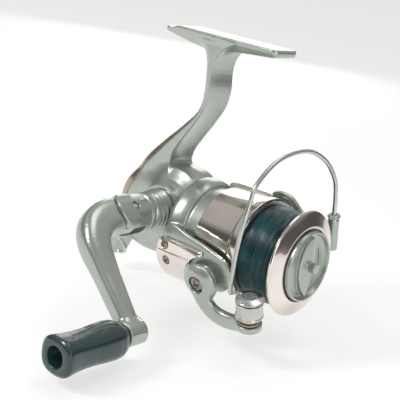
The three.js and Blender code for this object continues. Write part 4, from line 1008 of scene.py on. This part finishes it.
def build_line():
    rows, sides = ((200, 420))
    x = np.linspace(LINE_BACK, LINE_FRONT, rows)[:, None]
    turn = np.linspace(0, 2 * math.pi, sides, endpoint=False)[None, :]
    base = np.interp(x, [-14.7, -13.6, -8.0, -4.2, -3.2, -2.8], [17.15, 17.5, 17.4, 17.1, 16.7, 16.3])
    r = base - 0.12 + 0.17 * strand_height(x, turn)
    outer = np.stack([x + 0 * r, r * np.cos(turn), r * np.sin(turn)], -1)
    inner = [np.stack([at + 0 * turn[0], LINE_CORE * np.cos(turn[0]), LINE_CORE * np.sin(turn[0])], -1)
             for at in (LINE_FRONT, LINE_BACK)]
    points = np.vstack([outer.reshape(-1, 3), *inner])
    k = np.arange(sides)
    after = (k + 1) % sides
    faces = []
    for i in range(rows + 2):
        j = (i + 1) % (rows + 2)
        faces += list(zip(i * sides + k, j * sides + k, j * sides + after, i * sides + after))
    piece("wound_line", points, faces, "fishing_line", LINE, LINE_CREASE)


def knob_face_field(p):
    """The drag knob: a dished disc with a lens-shaped vane, a post, a curved slot and rows of dimples."""
    shape = turned(p, CENTRE, X, [
        (-1.6, 2.2), (-1.6, 12.2), (2.6, 12.8), (3.6, 12.75), (3.9, 12.4), (3.8, 12.0),
        (2.3, 11.5), (1.9, 10.0), (1.9, 0), (0.6, 0), (0.6, 2.2)])
    y, z = p[:, 1], p[:, 2]
    lens = np.maximum(np.hypot(z, y + 9.6), np.hypot(z, y - 9.6)) - 14.6
    crown = p[:, 0] - (4.3 - 0.26 * np.abs(y) - 0.004 * z**2)
    vane = smooth_max(smooth_max(lens, crown, 0.25), 1.2 - p[:, 0], 0.1)
    post = cylinder(p, CENTRE, X, 1.5, 6.6, 1.8, 0.35)
    shape = smooth_min(smooth_min(shape, vane, 0.35), post, 0.3)
    around = np.arctan2(z, y)
    slot = np.maximum(np.abs(np.hypot(y, z) - 8.1) - 0.75, (np.abs(around - 0.25) - 0.42) * 8.1)
    slot = np.maximum(slot, 1.2 - p[:, 0])
    dimples = np.full(len(p), 9.0)
    for cy, span in ((-6.4, 3.2), (-7.8, 1.8), (6.3, 3.2)):
        row = z - np.clip(np.round(z / 1.25) * 1.25, -span, span)
        dimples = np.minimum(dimples, np.sqrt((y - cy) ** 2 + row**2 + (p[:, 0] - 2.2) ** 2) - 0.38)
    return smooth_max(shape, -np.minimum(slot, dimples), 0.12)


def build_spool():
    lathe("skirt", SKIRT, X, CENTRE, "spool_skirt", CHROME, 160, 0.3)
    lathe("lip", LIP, X, CENTRE, "spool_lip", CHROME, 160, 0.3)
    build_line()
    out = np.array([0, 0.6, -0.8])
    lathe("clip", [[17.3, 0], [17.3, 0.8], [18.9, 0.8], [18.9, 1.9], [19.5, 1.9], [19.5, 0]], out,
          np.array([-26.0, 0, 0]), "line_clip", BLACK, 48, 0.25)
    solid("drag_face", knob_face_field, (-3, -14, -14), (8, 14, 14), 0.22, "drag_knob", SILVER)


# ---------------------------------------------------------------- pieces kept from the CAD
FINISH_OF = {"silver_paint": SILVER, "champagne_chrome": CHROME, "steel": STEEL, "brass": BRASS,
             "zinc_casting": ZINC, "black_plastic": BLACK, "grip_plastic": GRIP, "felt": FELT,
             "line_nylon": LINE}


def dress_inner_pieces():
    for name, obj in frame["nodes"].items():
        obj.data.materials.clear()
        obj.data.materials.append(FINISH_OF[SLOT_OF[name]])


# ---------------------------------------------------------------- floor, light and camera
FLOOR_DROP = 0.004                                # the reel hangs from its foot, clear of the floor


def build_floor():
    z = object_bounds()[0][2] - FLOOR_DROP
    mesh = bpy.data.meshes.new("floor")
    mesh.from_pydata([(-4, -4, z), (4, -4, z), (4, 4, z), (-4, 4, z)], [], [(0, 1, 2, 3)])
    floor = bpy.data.objects.new("floor", mesh)
    bpy.context.scene.collection.objects.link(floor)
    paint, _, shader = material("floor_paper", (0.45, 0.45, 0.45), 0.9, 0.0, specular=0.0)
    shader.inputs["Emission Color"].default_value = (1, 1, 1, 1)
    shader.inputs["Emission Strength"].default_value = 0.62
    mesh.materials.append(paint)


def area_light(name, at, aim, size, size_y, power):
    light = bpy.data.lights.new(name, "AREA")
    light.shape = "RECTANGLE"
    light.size = size
    light.size_y = size_y
    light.energy = power
    obj = bpy.data.objects.new(name, light)
    obj.location = at
    obj.rotation_euler = (Vector(aim) - Vector(at)).to_track_quat("-Z", "Y").to_euler()
    bpy.context.scene.collection.objects.link(obj)


# The room's grey from straight down (0) to straight up (1), as (place, level).
ROOM_BANDS = [(0.0, 0.9), (0.4, 0.8), (0.5, 0.5), (0.55, 0.22), (0.62, 0.2), (0.70, 0.9),
              (0.86, 1.0), (1.0, 0.6)]


def studio_world():
    """White behind the object, and for its reflections soft grey bands with darker ones between."""
    world = bpy.data.worlds.new("studio")
    world.use_nodes = True
    tree = world.node_tree
    nodes, link = tree.nodes, tree.links.new
    room = nodes["Background"]
    room.inputs["Strength"].default_value = 0.5
    white = nodes.new("ShaderNodeBackground")
    white.inputs["Color"].default_value = (1, 1, 1, 1)
    where = nodes.new("ShaderNodeTexCoord")
    split = nodes.new("ShaderNodeSeparateXYZ")
    bands = nodes.new("ShaderNodeValToRGB")
    ramp = bands.color_ramp.elements
    while len(ramp) < len(ROOM_BANDS):
        ramp.new(0.5)
    for element, (at, level) in zip(ramp, ROOM_BANDS):
        element.position = at
        element.color = (level, level * 0.985, level * 0.97, 1)
    height = nodes.new("ShaderNodeMapRange")
    height.inputs["From Min"].default_value = -1
    paths = nodes.new("ShaderNodeLightPath")
    mix = nodes.new("ShaderNodeMixShader")
    link(where.outputs["Generated"], split.inputs["Vector"])
    link(split.outputs["Z"], height.inputs["Value"])
    link(height.outputs["Result"], bands.inputs["Fac"])
    link(bands.outputs["Color"], room.inputs["Color"])
    link(paths.outputs["Is Camera Ray"], mix.inputs["Fac"])
    link(room.outputs["Background"], mix.inputs[1])
    link(white.outputs["Background"], mix.inputs[2])
    link(mix.outputs["Shader"], nodes["World Output"].inputs["Surface"])
    bpy.context.scene.world = world


def build_lights():
    aim = tuple(to_frame([-40.0, 0, 5.0]))
    for name, at, size, size_y, power in (
            ("key", (-0.30, -0.62, 0.52), 0.17, 0.32, 3.2),
            ("fill", (0.75, -0.35, 0.10), 0.22, 0.55, 1.3),
            ("top", (0.05, 0.15, 0.7), 0.5, 0.4, 1.3),
            ("rear", (-0.5, 0.6, 0.2), 0.4, 0.5, 1.0)):
        area_light(name, at, aim, size, size_y, power)
    studio_world()
    bpy.context.scene.view_settings.view_transform = "Standard"


# The camera's place and its own axes, in the reel's axes.
CAMERA_AT = (156.17, -259.18, 96.27)
CAMERA_RIGHT = (0.755, 0.641, 0.135)
CAMERA_UP = (-0.265, 0.110, 0.958)
CAMERA_BACK = (0.599, -0.759, 0.253)


LENS, SENSOR = 81, 36


def build_camera():
    """The axes are rounded above, so they are first made exactly square to each other."""
    camera = bpy.data.cameras.new("camera")
    camera.lens = LENS
    camera.sensor_width = SENSOR
    camera.clip_start = 0.01
    obj = bpy.data.objects.new("camera", camera)
    u, _, v = np.linalg.svd(TURN @ np.array([CAMERA_RIGHT, CAMERA_UP, CAMERA_BACK]).T)
    place = Matrix((u @ v).tolist()).to_4x4()
    place.translation = Vector(to_frame(CAMERA_AT))
    obj.matrix_world = place
    bpy.context.scene.collection.objects.link(obj)
    bpy.context.scene.camera = obj


dress_inner_pieces()
build_body()
build_handle()
build_rotor()
build_bail()
build_spool()
build_floor()
build_lights()
build_camera()
